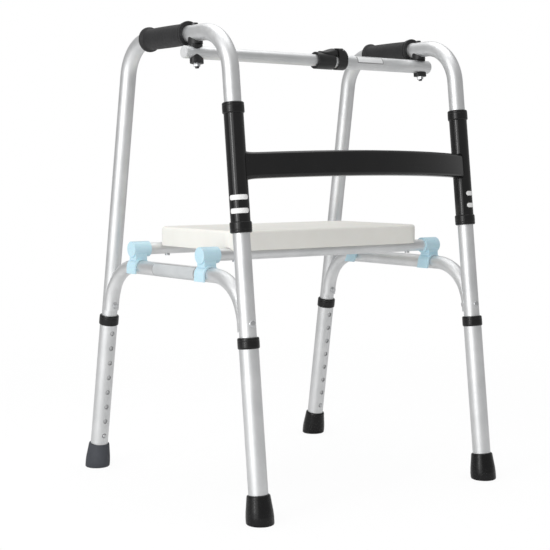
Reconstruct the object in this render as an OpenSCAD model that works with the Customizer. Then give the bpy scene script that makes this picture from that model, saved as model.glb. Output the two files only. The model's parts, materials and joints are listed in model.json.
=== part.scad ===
/* [Stance] */
// Distance between the front and rear foot centres on the floor
base_depth = 456; // [400:1:520]
// Distance from the seat board's end to the axis of a front leg
side_room = 33.5; // [30:0.5:50]
// Angle by which each side frame opens outwards to the rear
side_toe = 1.1; // [0:0.1:2]
// Lean of the front legs in the side view
front_lean = 6.3; // [4:0.1:8]
// Lean of the rear legs in the side view
rear_lean = 9.1; // [7:0.1:11]
// Height of the handle's axis at the lowest leg setting
handle_h = 706; // [680:1:760]

/* [Side frames] */
// Outside diameter of the bent side tube
tube_od = 25.4; // [22:0.1:28]
// Wall of the bent side tube
tube_wall = 1.5; // [1:0.1:2]
// Bend radius of the side tube at both ends of the handle
handle_bend = 62; // [50:1:75]
// Height of the side tube's lower ends along the leg
tube_end = 46; // [40:1:50]
// Outside diameter of the lower rail
rail_od = 22; // [19:0.1:25]
// Wall of the lower rail
rail_wall = 1.4; // [1:0.1:2]
// Height of the lower rail's axis
rail_h = 346.5; // [320:0.5:380]
// Height of the lower rail's two ends
rail_end_h = 271; // [270:1:276]
// Length of the rail's straight end on the front leg
rail_tail = 9.5; // [6:0.5:14]
// Thickness of the rail's coped end on a leg
rail_cope = 2.75; // [2:0.05:4]
// Height of the bolts that hold the rail, along the leg
rail_bolt_s = 284; // [280:1:292]
// Diameter of the rail bolts
rail_bolt_d = 6; // [5:0.1:8]

/* [Grips] */
// Free length of handle between a grip and the washer in front of it
grip_gap = 3.6; // [2:0.1:20]
// Diameter of a hand grip
grip_od = 34; // [31:0.5:36]
// Diameter of the flanges at both ends of a grip
grip_flange_od = 39; // [37:0.5:42]
// Thickness of a grip flange
grip_flange_t = 5; // [3:0.5:8]

/* [Lower legs] */
// Wall of the lower leg tubes
leg_wall = 1.6; // [1.2:0.1:2.2]
// Height of the top of the lower legs along the leg
leg_top = 265; // [258:1:267]
// Height of the lower end of the lower leg tubes along the leg
leg_end = 14; // [10:1:20]
// Distance between two adjusting holes
hole_pitch = 25.4; // [24:0.1:26]
// Number of adjusting holes in a leg
hole_count = 8; // [7:1:8]
// Diameter of the adjusting holes
hole_d = 7; // [6:0.1:8]
// Height of the lowest adjusting hole along the leg
hole_first = 58; // [56:1:60]
// Travel by which a spring button sinks when pressed
button_travel = 4.5; // [4.2:0.1:5]
// Height by which a button stands out of the lower leg
button_proud = 1.3; // [0.8:0.1:1.6]

/* [Collars and feet] */
// Thickness of the collars' wall over the tube that they cap
collar_wall = 1.2; // [0.8:0.1:2.5]
// Height of the collars
collar_h = 16.5; // [12:0.5:20]
// Thickness of the collars' lip over the tube end
collar_lip = 3; // [2:0.5:5]
// Diameter of a foot at its top
foot_top_d = 34.6; // [33:0.1:38]
// Diameter of a foot's sole
foot_sole_d = 41; // [39:0.5:46]
// Height of a foot along the leg
foot_h = 42; // [36:1:46]
// Thickness of the upright part of a foot's sole
sole_t = 7; // [4:0.5:10]

/* [Front frame] */
// Outside diameter of the sleeves around the front legs
sleeve_od = 29; // [28:0.1:32]
// Length of the sleeves with their collars
sleeve_len = 188.5; // [170:0.5:200]
// Distance of the sleeves' upper end below the handle's height
sleeve_drop = 103; // [90:0.5:115]
// Distance of the cross bar's middle below the sleeves' upper end
cross_drop = 94; // [60:1:110]
// Height of the cross bar's section
cross_tall = 38; // [30:0.5:44]
// Thickness of the cross bar's section
cross_thick = 18; // [14:0.5:22]
// Rounding of the cross bar's section
cross_round = 6; // [3:0.5:6.5]
// Forward bow of the cross bar at its middle
cross_bow = 48; // [30:1:60]

/* [Top bar] */
// Outside diameter of the inner tube of the top bar
bar_inner_od = 19; // [17:0.1:20]
// Wall of the inner tube of the top bar
bar_inner_wall = 1.4; // [1:0.1:2]
// Wall of the outer tube of the top bar
bar_outer_wall = 1.4; // [1:0.1:2]
// Distance of the bar bolts behind the front legs at handle height
bar_back = 84; // [76:1:92]
// Length of the bar past each bolt
bar_past = 25; // [16:1:32]
// Length of the inner tube that is inside the outer tube
bar_lap = 105; // [75:1:125]
// Diameter of the bar bolts
bar_bolt_d = 6; // [5:0.1:8]
// Diameter of the saddle washers
saddle_d = 22; // [18:0.5:23]
// Thickness of the handle's saddle washer at its middle
handle_pad = 3.8; // [2.5:0.1:6]
// Thickness of the upper bar washer over the outer tube
bar_pad = 1.5; // [1:0.1:3]
// Thickness of the lower bar washer under the outer tube
bar_under = 5.5; // [3:0.5:8]

/* [Bar clamp] */
// Distance of the clamp's mouth to the left of the middle
clamp_mouth = 1; // [0:0.5:10]
// Length of the clamp's collar
clamp_len = 35; // [28:1:42]
// Wall of the clamp over the outer tube
clamp_wall = 2.6; // [2:0.1:3.5]
// Free length of tube between the collar and the lever ring
clamp_slit = 6; // [3:0.5:9]
// Length of the lever ring
ring_len = 18; // [15:1:24]
// Width of the lever
lever_w = 17; // [12:0.5:20]
// Radius of the lever's barrel around its pin
lever_barrel = 3.6; // [3:0.1:4.5]
// Diameter of the lever's pin
lever_pin_d = 3; // [2:0.1:4]
// Thickness of an ear that carries the pin
ear_t = 3; // [2:0.5:5]

/* [Seat] */
// Width of the seat board
seat_w = 384; // [340:1:392]
// Depth of the seat board
seat_d = 207; // [190:1:214]
// Height of the seat board with its skirt
seat_t = 31; // [27:0.5:38]
// Thickness of the seat board's top
seat_top_t = 6; // [4:0.5:9]
// Radius of the seat board's corners
seat_corner = 18; // [12:1:30]
// Rounding of the seat board's upper edge
seat_edge = 5; // [3:0.5:8]
// Place of the board's middle in front (minus) or behind (plus) the object's middle
seat_mid = -5; // [-10:0.5:3]
// Distance of the front seat tube's axis behind the board's front edge
front_inset = 12.5; // [12:0.5:30]
// Distance of the rear seat tube's axis in front of the board's rear edge
rear_inset = 3.5; // [3:0.5:30]
// Outside diameter of the seat tubes
seat_tube_od = 19; // [16:0.1:22]
// Wall of the seat tubes
seat_tube_wall = 1.4; // [1:0.1:2]
// Height of the board's lower rim above the seat tubes' axis
seat_rise = 4.5; // [1:0.5:7]
// Height of the seat tubes' axis above the rails' axis
clip_rise = 29; // [26:0.5:34]
// Wall of the seat clips
clip_wall = 3; // [2:0.1:4]
// Width of a seat clip along the rail
clip_w = 25; // [20:0.5:30]
// Length of a clip's socket towards the middle, from the rail's axis
clip_in = 18; // [16:0.5:28]
// Length of a clip's socket outwards, from the rail's axis
clip_out = 13; // [7:0.5:14]
// Depth of a clip's skirts below the rail's axis
clip_skirt = 10; // [6:0.5:10.5]
// Slope of the inner skirt of the front clips
front_flare = 0.2; // [0.18:0.01:0.4]
// Slope of the inner skirt of the rear clips
rear_flare = 0.46; // [0.44:0.01:0.6]
// Diameter of the seat screws
screw_d = 4; // [3:0.1:5]
// Distance of the seat screws from the middle
screw_x = 176; // [140:1:180]

/* [Clearances] */
// Radial clearance where tubes slide or turn in each other
running_fit = 0.1; // [0.05:0.01:0.1]
// Clearance of parts that are pressed or welded together
seat_fit = 0.05; // [0.03:0.01:0.1]
// Clearance of the seat clips around the rails
clip_play = 0.4; // [0.3:0.05:0.6]
// Radial clearance of the buttons in their holes
button_fit = 0.3; // [0.2:0.05:0.4]
// Clearance of the lever to the parts beside and below it
lever_fit = 0.35; // [0.3:0.05:0.6]
// Clearance between the flat faces of the turning washers
washer_fit = 0.1; // [0.05:0.01:0.2]

/* [Hidden] */
$fn = 64;
tube_r = tube_od / 2;
bore_r = tube_r - tube_wall;
rail_r = rail_od / 2;
leg_bore_r = tube_r + running_fit;
leg_r = leg_bore_r + leg_wall;
sleeve_r = sleeve_od / 2;
track = seat_w + 2 * side_room;
side_x = -track / 2;
sleeve_high = handle_h - sleeve_drop;
sleeve_low = sleeve_high - sleeve_len;
cross_s = sleeve_high - cross_drop;
front_foot_y = -base_depth / 2;
rear_foot_y = base_depth / 2;

// Side view places of the leg axes at a height
function front_y(z) = front_foot_y + z * tan(front_lean);
function rear_y(z) = rear_foot_y - z * tan(rear_lean);

// A point of the left side's plane after the side has opened by its toe angle
function along(y, z) = (y - front_foot_y) * sin(front_lean) + z * cos(front_lean);
function aside(y, z) = (y - front_foot_y) * cos(front_lean) - z * sin(front_lean);
function opened_x(y, z) = side_x - aside(y, z) * sin(side_toe);
function opened_y(y, z) = front_foot_y + along(y, z) * sin(front_lean)
    + aside(y, z) * cos(side_toe) * cos(front_lean);
function opened_z(y, z) = along(y, z) * cos(front_lean)
    - aside(y, z) * cos(side_toe) * sin(front_lean);

// Top bar and its bolts
bar_inner_r = bar_inner_od / 2;
bar_bore_r = bar_inner_r + running_fit;
bar_outer_r = bar_bore_r + bar_outer_wall;
bar_split = bar_outer_r + bar_pad;
bar_drop = bar_split + washer_fit + handle_pad + (tube_r + seat_fit) / cos(front_lean);
bolt_y = front_y(handle_h) + bar_back;
bar_side_y = bolt_y - bar_drop * sin(front_lean);
bar_side_z = handle_h - bar_drop * cos(front_lean);
bar_x = -opened_x(bar_side_y, bar_side_z);
bar_y = opened_y(bar_side_y, bar_side_z);
bar_z = opened_z(bar_side_y, bar_side_z);
bar_end = bar_x + bar_past;
bar_floor = bar_outer_r + bar_under;
nut_h = 0.75 * bar_bolt_d;
bolt_tip = bar_floor + washer_fit + nut_h + 2.5;

// Clamp on the bar
clamp_r = bar_outer_r + clamp_wall;
clamp_end = clamp_len - clamp_mouth;
ring_x = clamp_end + clamp_slit;
ring_end = ring_x + ring_len;
outer_start = clamp_end - clamp_len / 2;
inner_end = outer_start + bar_lap;
pin_x = ring_x + ring_len / 2;
pin_z = clamp_r + lever_fit + lever_barrel;
lever_low = clamp_r + lever_fit;
lever_tip = -clamp_mouth + 11;

// Handle grip between the two bends
front_run = handle_bend * tan((90 - front_lean) / 2);
rear_run = handle_bend * tan((90 - rear_lean) / 2);
grip_rear = rear_y(handle_h) - rear_run - 0.5;
grip_front = bolt_y + saddle_d / 2 + grip_gap;
grip_len = grip_rear - grip_front;

// Bent tubes draw in slightly along a bend, and the straight runs lap over its ends
bend_thin = 0.2;
bend_lap = 0.6;

// Lower rail, whose ends are coped to hug the inner sides of the legs
rail_off = tube_r + seat_fit + rail_cope - rail_r;
rail_bend = (rail_h - rail_end_h - rail_tail * cos(front_lean)) / (1 - sin(front_lean));
rail_tangent_s = rail_end_h / cos(front_lean) + rail_tail;
rail_nut_r = 0.9 * rail_bolt_d;
rail_nut_y = rail_off + rail_r + 0.1
    + pow(max(0, rail_bolt_s + rail_nut_r - rail_tangent_s), 2) / (2 * rail_bend);
rail_front = front_y(rail_h) + rail_off / cos(front_lean);
rail_rear = rear_y(rail_h) - rail_off / cos(rear_lean);

// Seat on the rails
seat_z = rail_h + clip_rise;
seat_tube_r = seat_tube_od / 2;
seat_low = seat_z + seat_rise;
seat_high = seat_low + seat_t;
seat_front_y = seat_mid - seat_d / 2 + front_inset;
seat_rear_y = seat_mid + seat_d / 2 - rear_inset;
socket_r = seat_tube_r + clip_wall;
clip_bore_r = rail_r + clip_play;
screw_head_h = 2.5;

// Bow of the cross bar through the two sleeves
cross_r = track * track / (8 * cross_bow) + cross_bow / 2;
cross_half = asin(track / 2 / cross_r);

// Spring button in its own place on a leg
button_r = hole_d / 2 - button_fit;
button_tip = leg_r + button_proud;
button_back = bore_r - 2.2;
arm_end = 24;
spring_t = 0.8;
spring_w = 5;

// Places: the left side opened by its toe angle, and the right side as its mirror image
module left() {
    translate([side_x, front_foot_y, 0])
        rotate(a = side_toe, v = [0, sin(front_lean), cos(front_lean)])
            translate([-side_x, -front_foot_y, 0]) children();
}
module right() mirror([1, 0, 0]) left() children();

// Leg frames: +Z up along the leg, +Y towards the other leg of the same side
module front_leg(s = 0) {
    translate([side_x, front_foot_y, 0])
        rotate([-front_lean, 0, 0]) translate([0, 0, s]) children();
}
module rear_leg(s = 0) {
    translate([side_x, rear_foot_y, 0])
        rotate([rear_lean, 0, 0]) rotate([0, 0, 180]) translate([0, 0, s]) children();
}

// Bolt frame of the left side: origin on the bar's axis, +Z up along the bolt
module bolt_place() {
    translate([side_x, bar_side_y, bar_side_z]) rotate([-front_lean, 0, 0]) children();
}
module bar_place(side) {
    translate([side * bar_x, bar_y, bar_z]) rotate([-front_lean, 0, 0]) children();
}

module along_y(r, y0, y1) translate([0, y0, 0]) rotate([-90, 0, 0]) cylinder(r = r, h = y1 - y0);
module along_x(r, x0, x1) translate([x0, 0, 0]) rotate([0, 90, 0]) cylinder(r = r, h = x1 - x0);

// An arch of round bar in the side plane, with legs that lean like the frame's legs
module arch(r, bend, h, yf, yr, zf, zr) {
    run_f = bend * tan((90 - front_lean) / 2);
    run_r = bend * tan((90 - rear_lean) / 2);
    len_f = (h - zf) / cos(front_lean);
    len_r = (h - zr) / cos(rear_lean);
    translate([side_x, 0, 0]) {
        translate([0, yf, h]) rotate([-front_lean, 0, 0])
            translate([0, 0, -len_f]) cylinder(r = r, h = len_f - run_f + bend_lap);
        translate([0, yf + run_f, h - bend]) rotate([90, 0, 90]) rotate([0, 0, 90])
            rotate_extrude(angle = 90 - front_lean) translate([bend, 0]) circle(r = r - bend_thin);
        translate([0, 0, h]) along_y(r, yf + run_f - bend_lap, yr - run_r + bend_lap);
        translate([0, yr - run_r, h - bend]) rotate([90, 0, 90]) rotate([0, 0, rear_lean])
            rotate_extrude(angle = 90 - rear_lean) translate([bend, 0]) circle(r = r - bend_thin);
        translate([0, yr, h]) rotate([rear_lean, 0, 0])
            translate([0, 0, -len_r]) cylinder(r = r, h = len_r - run_r + bend_lap);
    }
}

module handle_bar(r) translate([side_x, 0, handle_h]) along_y(r, bolt_y - 24, bolt_y + 24);

module side_tube() {
    zf = tube_end * cos(front_lean);
    zr = tube_end * cos(rear_lean);
    difference() {
        arch(tube_r, handle_bend, handle_h, front_y(handle_h), rear_y(handle_h), zf, zr);
        arch(bore_r, handle_bend, handle_h, front_y(handle_h), rear_y(handle_h), zf - 2, zr - 2);
        front_leg(rail_bolt_s) along_y(rail_bolt_d / 2 + running_fit, -tube_r - 2, tube_r + 2);
        rear_leg(rail_bolt_s) along_y(rail_bolt_d / 2 + running_fit, -tube_r - 2, tube_r + 2);
        front_leg(hole_first) along_y(hole_d / 2, bore_r / 2, tube_r + 2);
        rear_leg(hole_first) along_y(hole_d / 2, bore_r / 2, tube_r + 2);
        bolt_place() translate([0, 0, bar_drop - tube_r - 3])
            cylinder(r = bar_bolt_d / 2 + running_fit, h = 2 * tube_r + 6);
    }
}

module rail() {
    difference() {
        arch(rail_r, rail_bend, rail_h, rail_front, rail_rear, rail_end_h, rail_end_h);
        arch(rail_r - rail_wall, rail_bend, rail_h, rail_front, rail_rear,
            rail_end_h - 2, rail_end_h - 2);
        front_leg(rail_end_h / 2) cylinder(r = tube_r + seat_fit, h = rail_h);
        rear_leg(rail_end_h / 2) cylinder(r = tube_r + seat_fit, h = rail_h);
        front_leg(rail_bolt_s) along_y(rail_bolt_d / 2 + running_fit, tube_r, rail_nut_y + 2);
        rear_leg(rail_bolt_s) along_y(rail_bolt_d / 2 + running_fit, tube_r, rail_nut_y + 2);
    }
}

// One rail bolt in its leg frame, with a round head in front and a nut behind the rail
module rail_bolt() {
    difference() {
        union() {
            along_y(rail_bolt_d / 2, -tube_r - 1, rail_nut_y + rail_bolt_d);
            along_y(rail_bolt_d * 0.9, -tube_r - 3, -tube_r * 0.6);
            along_y(rail_bolt_d * 0.6, -tube_r - 4, -tube_r - 2);
            rotate([0, 90, 0]) rotate([-90, 0, 0]) translate([0, 0, rail_nut_y])
                cylinder(r = rail_nut_r, h = rail_bolt_d * 0.7, $fn = 6);
        }
        difference() {
            translate([0, 0, -20]) cylinder(r = tube_r + seat_fit, h = 40);
            along_y(rail_bolt_d / 2, -tube_r - 6, tube_r + 6);
        }
    }
}
module rail_bolts() {
    front_leg(rail_bolt_s) rail_bolt();
    rear_leg(rail_bolt_s) rail_bolt();
}

// Grip along +Y from its front end, with a double ring in front and a flange behind
module grip() {
    r = grip_od / 2;
    f = grip_flange_od / 2;
    b = tube_r + seat_fit;
    t = grip_flange_t;
    translate([side_x, grip_rear - grip_len, handle_h]) rotate([-90, 0, 0])
        rotate_extrude() polygon([
            [b, 0], [f - 1.5, 0], [f, 1.5], [f, t - 1], [f - 1, t], [r + 0.4, t + 0.6],
            [r + 0.4, t + 1.8], [r + 1.2, t + 2.4], [r + 1.2, t + 4], [r, t + 5],
            [r, grip_len - t - 2], [f - 1, grip_len - t], [f, grip_len - t + 1],
            [f, grip_len - 1.5], [f - 1.5, grip_len], [b, grip_len]
        ]);
}

module handle_saddle() {
    difference() {
        bolt_place() translate([0, 0, bar_split + washer_fit])
            cylinder(r = saddle_d / 2, h = bar_drop - bar_split - 2);
        handle_bar(tube_r + seat_fit);
        bolt_place() cylinder(r = bar_bolt_d / 2 + running_fit, h = bar_drop);
    }
}

module bar_bolt() {
    head_low = bar_drop + tube_r * 0.7;
    head_high = bar_drop + tube_r / cos(front_lean) + 2.2;
    bolt_place() translate([0, 0, -bolt_tip])
        cylinder(r = bar_bolt_d / 2, h = bolt_tip + head_high - 1);
    difference() {
        bolt_place() translate([0, 0, head_low])
            cylinder(r = bar_bolt_d * 0.9, h = head_high - head_low);
        handle_bar(tube_r + seat_fit);
    }
}

module bar_nut() {
    bolt_place() translate([0, 0, -bar_floor - washer_fit - nut_h]) difference() {
        cylinder(r = bar_bolt_d * 0.92, h = nut_h, $fn = 6);
        translate([0, 0, -1]) cylinder(r = bar_bolt_d / 2 + seat_fit, h = nut_h + 2);
    }
}

// Fixed half of a leaf spring inside the leg, with its bend above the button's arm
module leaf_spring() {
    wall_y = sqrt(bore_r * bore_r - spring_w * spring_w / 4) - 0.2;
    translate([-spring_w / 2, -wall_y, -6]) cube([spring_w, spring_t, arm_end + 7.2]);
    translate([-spring_w / 2, -wall_y, arm_end + 0.4])
        cube([spring_w, wall_y + button_back - 1, spring_t]);
}
module leaf_springs() {
    front_leg(hole_first) leaf_spring();
    rear_leg(hole_first) leaf_spring();
}

module button() {
    along_y(button_r, button_back - 0.5, button_tip - 1);
    translate([0, button_tip - 1, 0]) rotate([-90, 0, 0])
        cylinder(r1 = button_r, r2 = button_r - 1, h = 1);
    along_y(button_r + 1.4, button_back - 1, button_back);
    translate([-spring_w / 2, button_back - 1 - spring_t, -6]) cube([spring_w, spring_t, arm_end + 6]);
}

module lower_leg() {
    difference() {
        translate([0, 0, leg_end]) cylinder(r = leg_r, h = leg_top - collar_lip - leg_end);
        translate([0, 0, leg_end - 1]) cylinder(r = leg_bore_r, h = leg_top);
        for (i = [0 : hole_count - 1])
            translate([0, 0, hole_first + i * hole_pitch]) along_y(hole_d / 2, tube_r / 2, leg_r + 2);
    }
}

// Collar that caps the end of a tube of radius r at the origin and reaches down over it
module collar(r, lip_bore) {
    difference() {
        translate([0, 0, -collar_h]) rotate_extrude() polygon([
            [lip_bore, collar_h], [lip_bore, collar_h - collar_lip],
            [r + seat_fit, collar_h - collar_lip], [r + seat_fit, 0],
            [r + collar_wall, 0], [r + collar_wall, collar_h - 1], [r + collar_wall - 1, collar_h]
        ]);
    }
}

// Foot in its leg frame: a tapered cup around the leg, standing on an upright round sole
module foot(lean) {
    difference() {
        union() {
            cylinder(r1 = foot_sole_d / 2 - 0.6, r2 = foot_top_d / 2 - 0.5, h = foot_h - 3);
            translate([0, 0, foot_h - 3]) cylinder(r = foot_top_d / 2, h = 3);
            rotate([lean, 0, 0]) translate([0, 0, -1]) cylinder(r = foot_sole_d / 2, h = sole_t + 1);
        }
        translate([0, 0, leg_end]) cylinder(r = leg_r + seat_fit, h = foot_h);
    }
}
module above_floor() {
    intersection() {
        children();
        translate([-track, -base_depth, 0]) cube([2 * track, 2 * base_depth, handle_h]);
    }
}

// Front frame: sleeves along the front legs and the bowed bar between them
module sleeve() {
    front_leg() difference() {
        translate([0, 0, sleeve_low + collar_lip])
            cylinder(r = sleeve_r, h = sleeve_high - sleeve_low - 2 * collar_lip);
        cylinder(r = tube_r + running_fit, h = sleeve_high + 1);
    }
}
module sleeve_top_collar() front_leg(sleeve_high) collar(sleeve_r, tube_r + running_fit);
module sleeve_bottom_collar() {
    front_leg(sleeve_low) mirror([0, 0, 1]) collar(sleeve_r, tube_r + running_fit);
}
module cross_section() {
    a = cross_thick / 2;
    b = cross_tall / 2;
    q = cross_round;
    translate([-a, -b + q]) square([2 * a, 2 * b - 2 * q]);
    translate([-a + q, -b]) square([2 * a - 2 * q, 2 * b]);
    for (i = [-1, 1], j = [-1, 1]) translate([i * (a - q), j * (b - q)]) circle(r = q);
}
module cross_bar() {
    difference() {
        translate([0, front_foot_y, 0]) rotate([-front_lean, 0, 0])
            translate([0, cross_r - cross_bow, cross_s]) rotate([0, 0, -90 - cross_half])
                rotate_extrude(angle = 2 * cross_half) translate([cross_r, 0]) cross_section();
        front_leg() cylinder(r = sleeve_r + seat_fit, h = sleeve_high);
        mirror([1, 0, 0]) front_leg() cylinder(r = sleeve_r + seat_fit, h = sleeve_high);
    }
}

// Top bar: tubes, washers and caps
module bar_axis() translate([0, bar_y, bar_z]) children();
module bar_inner() {
    difference() {
        bar_axis() along_x(bar_inner_r, -bar_end, inner_end);
        bar_axis() along_x(bar_inner_r - bar_inner_wall, -bar_end - 1, inner_end + 1);
        bar_place(-1) translate([0, 0, -20]) cylinder(r = bar_bolt_d / 2 + running_fit, h = 40);
    }
}
module bar_outer() {
    difference() {
        bar_axis() along_x(bar_outer_r, outer_start, bar_end);
        bar_axis() along_x(bar_bore_r, outer_start - 1, bar_end + 1);
        bar_place(1) translate([0, 0, -20]) cylinder(r = bar_bolt_d / 2 + running_fit, h = 40);
    }
}
module bar_cap(r, bore) {
    along_x(bore - seat_fit, -12, 0);
    along_x(r, 0, 1.4);
    translate([1.4, 0, 0]) rotate([0, 90, 0]) cylinder(r1 = r, r2 = r - 2.2, h = 1.8);
}
module upper_saddle(side, r) {
    difference() {
        bar_place(side) translate([0, 0, 3]) cylinder(r = saddle_d / 2, h = bar_split - 3);
        bar_axis() along_x(r + seat_fit, -bar_end - 9, bar_end + 9);
        bar_place(side) cylinder(r = bar_bolt_d / 2 + running_fit, h = 40);
    }
}
module lower_saddle(side, r) {
    difference() {
        bar_place(side) translate([0, 0, -bar_floor]) cylinder(r = saddle_d / 2, h = bar_floor - 3);
        bar_axis() along_x(r + seat_fit, -bar_end - 9, bar_end + 9);
        bar_place(side) translate([0, 0, -40]) cylinder(r = bar_bolt_d / 2 + running_fit, h = 40);
    }
}

// Flip-lever clamp
module clamp_body() {
    bar_axis() difference() {
        along_x(clamp_r, -clamp_mouth, clamp_end);
        along_x(bar_bore_r, -clamp_mouth - 1, clamp_end + 1);
        along_x(bar_outer_r + seat_fit, outer_start - 0.2, clamp_end + 1);
    }
}
module lever_ring() {
    ear_y = lever_w / 2 + lever_fit;
    bar_axis() difference() {
        union() {
            along_x(clamp_r, ring_x, ring_end);
            for (i = [-1, 1]) translate([pin_x, i * (ear_y + ear_t / 2), 0]) {
                translate([0, -ear_t / 2, pin_z]) along_y(lever_barrel, 0, ear_t);
                translate([0, ear_t / 2, 0]) rotate([90, 0, 0]) linear_extrude(ear_t) polygon([
                    [-ring_len / 2, 0], [ring_len / 2, 0], [ring_len / 2, clamp_r * 0.7],
                    [lever_barrel * 0.8, pin_z + lever_barrel * 0.6],
                    [-lever_barrel * 0.8, pin_z + lever_barrel * 0.6], [-ring_len / 2, clamp_r * 0.7]
                ]);
            }
        }
        along_x(bar_outer_r + seat_fit, ring_x - 1, ring_end + 1);
        translate([pin_x, 0, pin_z]) along_y(lever_pin_d / 2 + seat_fit, -ear_y - ear_t - 1, ear_y + ear_t + 1);
    }
}
module lever_pin() {
    reach = lever_w / 2 + lever_fit + ear_t;
    bar_axis() translate([pin_x, 0, pin_z]) along_y(lever_pin_d / 2, -reach, reach);
}
module lever() {
    top_z = pin_z + lever_barrel;
    bar_axis() difference() {
        union() {
            translate([pin_x, 0, pin_z]) along_y(lever_barrel, -lever_w / 2, lever_w / 2);
            translate([0, lever_w / 2, 0]) rotate([90, 0, 0]) linear_extrude(lever_w) polygon([
                [lever_tip, lever_low], [pin_x, lever_low], [pin_x, top_z], [pin_x - 12, top_z],
                [lever_tip + 14, lever_low + 4.2], [lever_tip, lever_low + 1.6]
            ]);
        }
        translate([pin_x, 0, pin_z]) along_y(lever_pin_d / 2 + running_fit, -lever_w, lever_w);
    }
}

// Seat
module seat_outline(h, inset) {
    x = seat_w / 2 - seat_corner;
    y = seat_d / 2 - seat_corner;
    for (i = [-1, 1], j = [-1, 1])
        translate([i * x, j * y, 0]) cylinder(r = seat_corner - inset, h = h, $fn = 32);
}
module seat_channel(y) {
    translate([0, y, seat_z]) along_x(seat_tube_r + seat_fit, -seat_w, seat_w);
    translate([-seat_w, y - seat_tube_r - seat_fit, seat_z - seat_tube_od])
        cube([2 * seat_w, 2 * (seat_tube_r + seat_fit), seat_tube_od]);
}
module board() {
    body_h = seat_t - seat_edge;
    rim = 8;
    pocket_y = seat_front_y + seat_tube_r + rim;
    pocket_d = seat_rear_y - seat_tube_r - rim - pocket_y;
    pocket_h = seat_t - seat_top_t;
    difference() {
        translate([0, seat_mid, seat_low]) hull() {
            seat_outline(body_h, 0);
            for (k = [1 : 5]) translate([0, 0, body_h])
                seat_outline(seat_edge * sin(18 * k), seat_edge * (1 - cos(18 * k)));
        }
        translate([-seat_w / 2 + rim, pocket_y, seat_low - 1])
            cube([seat_w - 2 * rim, pocket_d, pocket_h + 1]);
        seat_channel(seat_front_y);
        seat_channel(seat_rear_y);
        for (i = [-1, 1], y = [seat_front_y, seat_rear_y])
            translate([i * screw_x, y, seat_z]) cylinder(r = screw_d / 2 + seat_fit, h = seat_tube_r + 10.5);
    }
}
module seat_tube(y) {
    reach = -opened_x(y, rail_h) + clip_out - clip_wall - seat_fit;
    difference() {
        translate([0, y, seat_z]) along_x(seat_tube_r, -reach, reach);
        translate([0, y, seat_z]) along_x(seat_tube_r - seat_tube_wall, -reach - 1, reach + 1);
        for (i = [-1, 1]) translate([i * screw_x, y, seat_z - seat_tube_od])
            cylinder(r = screw_d / 2 + running_fit, h = 2 * seat_tube_od);
    }
}
module screws() {
    for (i = [-1, 1], y = [seat_front_y, seat_rear_y]) translate([i * screw_x, y, seat_z]) {
        translate([0, 0, -seat_tube_r - 1]) cylinder(r = screw_d / 2, h = 2 * seat_tube_r + 11);
        difference() {
            translate([0, 0, -seat_tube_r - screw_head_h])
                cylinder(r = screw_d, h = screw_head_h + seat_tube_r / 2);
            along_x(seat_tube_r + seat_fit, -20, 20);
        }
    }
}

// Clip: a closed socket on the seat tube's end, a neck and a saddle over the rail
module clip_saddle(flare) {
    n = sqrt(1 + flare * flare);
    drop = clip_bore_r * flare / n + clip_skirt;
    in_x = clip_bore_r / n + flare * drop;
    out_r = clip_bore_r + clip_wall;
    out_drop = out_r * flare / n + clip_skirt;
    out_x = out_r / n + flare * out_drop;
    rotate([90, 0, 0]) linear_extrude(clip_w, center = true) difference() {
        union() {
            circle(r = out_r);
            polygon([[-out_r, 0], [-out_r, -clip_skirt], [out_x, -clip_skirt],
                [out_r / n, out_r * flare / n], [0, out_r * flare / n]]);
        }
        circle(r = clip_bore_r);
        polygon([[-clip_bore_r, 0], [-clip_bore_r, -clip_skirt * 3], [in_x + flare * clip_skirt * 2, -clip_skirt * 3],
            [clip_bore_r / n, clip_bore_r * flare / n], [0, clip_bore_r * flare / n]]);
        translate([-3 * out_r, -clip_skirt - 4 * out_r]) square([6 * out_r, 4 * out_r]);
    }
}
module clip(y, flare) {
    x = opened_x(y, rail_h);
    neck_w = clip_w * 0.8;
    difference() {
        union() {
            left() translate([side_x, y, rail_h]) clip_saddle(flare);
            translate([0, y, seat_z]) along_x(socket_r, x - clip_out, x + clip_in);
            translate([x - clip_bore_r * 0.9, y - neck_w / 2, rail_h + rail_r])
                cube([1.8 * clip_bore_r, neck_w, clip_rise - rail_r]);
        }
        translate([0, y, seat_z]) along_x(seat_tube_r + seat_fit, x - clip_out + clip_wall, x + clip_in + 1);
        left() translate([side_x, y, rail_h]) along_y(clip_bore_r, -clip_w, clip_w);
    }
}

module crossbar() color("#202022") cross_bar();
module left_sleeve() color("#1c1c1e") sleeve();
module right_sleeve() color("#1c1c1e") mirror([1, 0, 0]) sleeve();
module left_sleeve_top_collar() color("#2a2a2c") sleeve_top_collar();
module left_sleeve_bottom_collar() color("#2a2a2c") sleeve_bottom_collar();
module right_sleeve_top_collar() color("#2a2a2c") mirror([1, 0, 0]) sleeve_top_collar();
module right_sleeve_bottom_collar() color("#2a2a2c") mirror([1, 0, 0]) sleeve_bottom_collar();
module left_side_tube() color("#d9dadb") left() side_tube();
module right_side_tube() color("#d9dadb") right() side_tube();
module left_grip() color("#3e3e40") left() grip();
module right_grip() color("#3e3e40") right() grip();
module left_rail() color("#cfd0d1") left() rail();
module right_rail() color("#cfd0d1") right() rail();
module left_rail_bolts() color("#b8b9ba") left() rail_bolts();
module right_rail_bolts() color("#b8b9ba") right() rail_bolts();
module left_handle_saddle() color("#343436") left() handle_saddle();
module right_handle_saddle() color("#343436") right() handle_saddle();
module left_bar_bolt() color("#4a4a4c") left() bar_bolt();
module right_bar_bolt() color("#4a4a4c") right() bar_bolt();
module left_bar_nut() color("#c8c9ca") left() bar_nut();
module right_bar_nut() color("#c8c9ca") right() bar_nut();
module left_button_springs() color("#a8a9aa") left() leaf_springs();
module right_button_springs() color("#a8a9aa") right() leaf_springs();
module bar_inner_tube() color("#d2d3d4") bar_inner();
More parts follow.
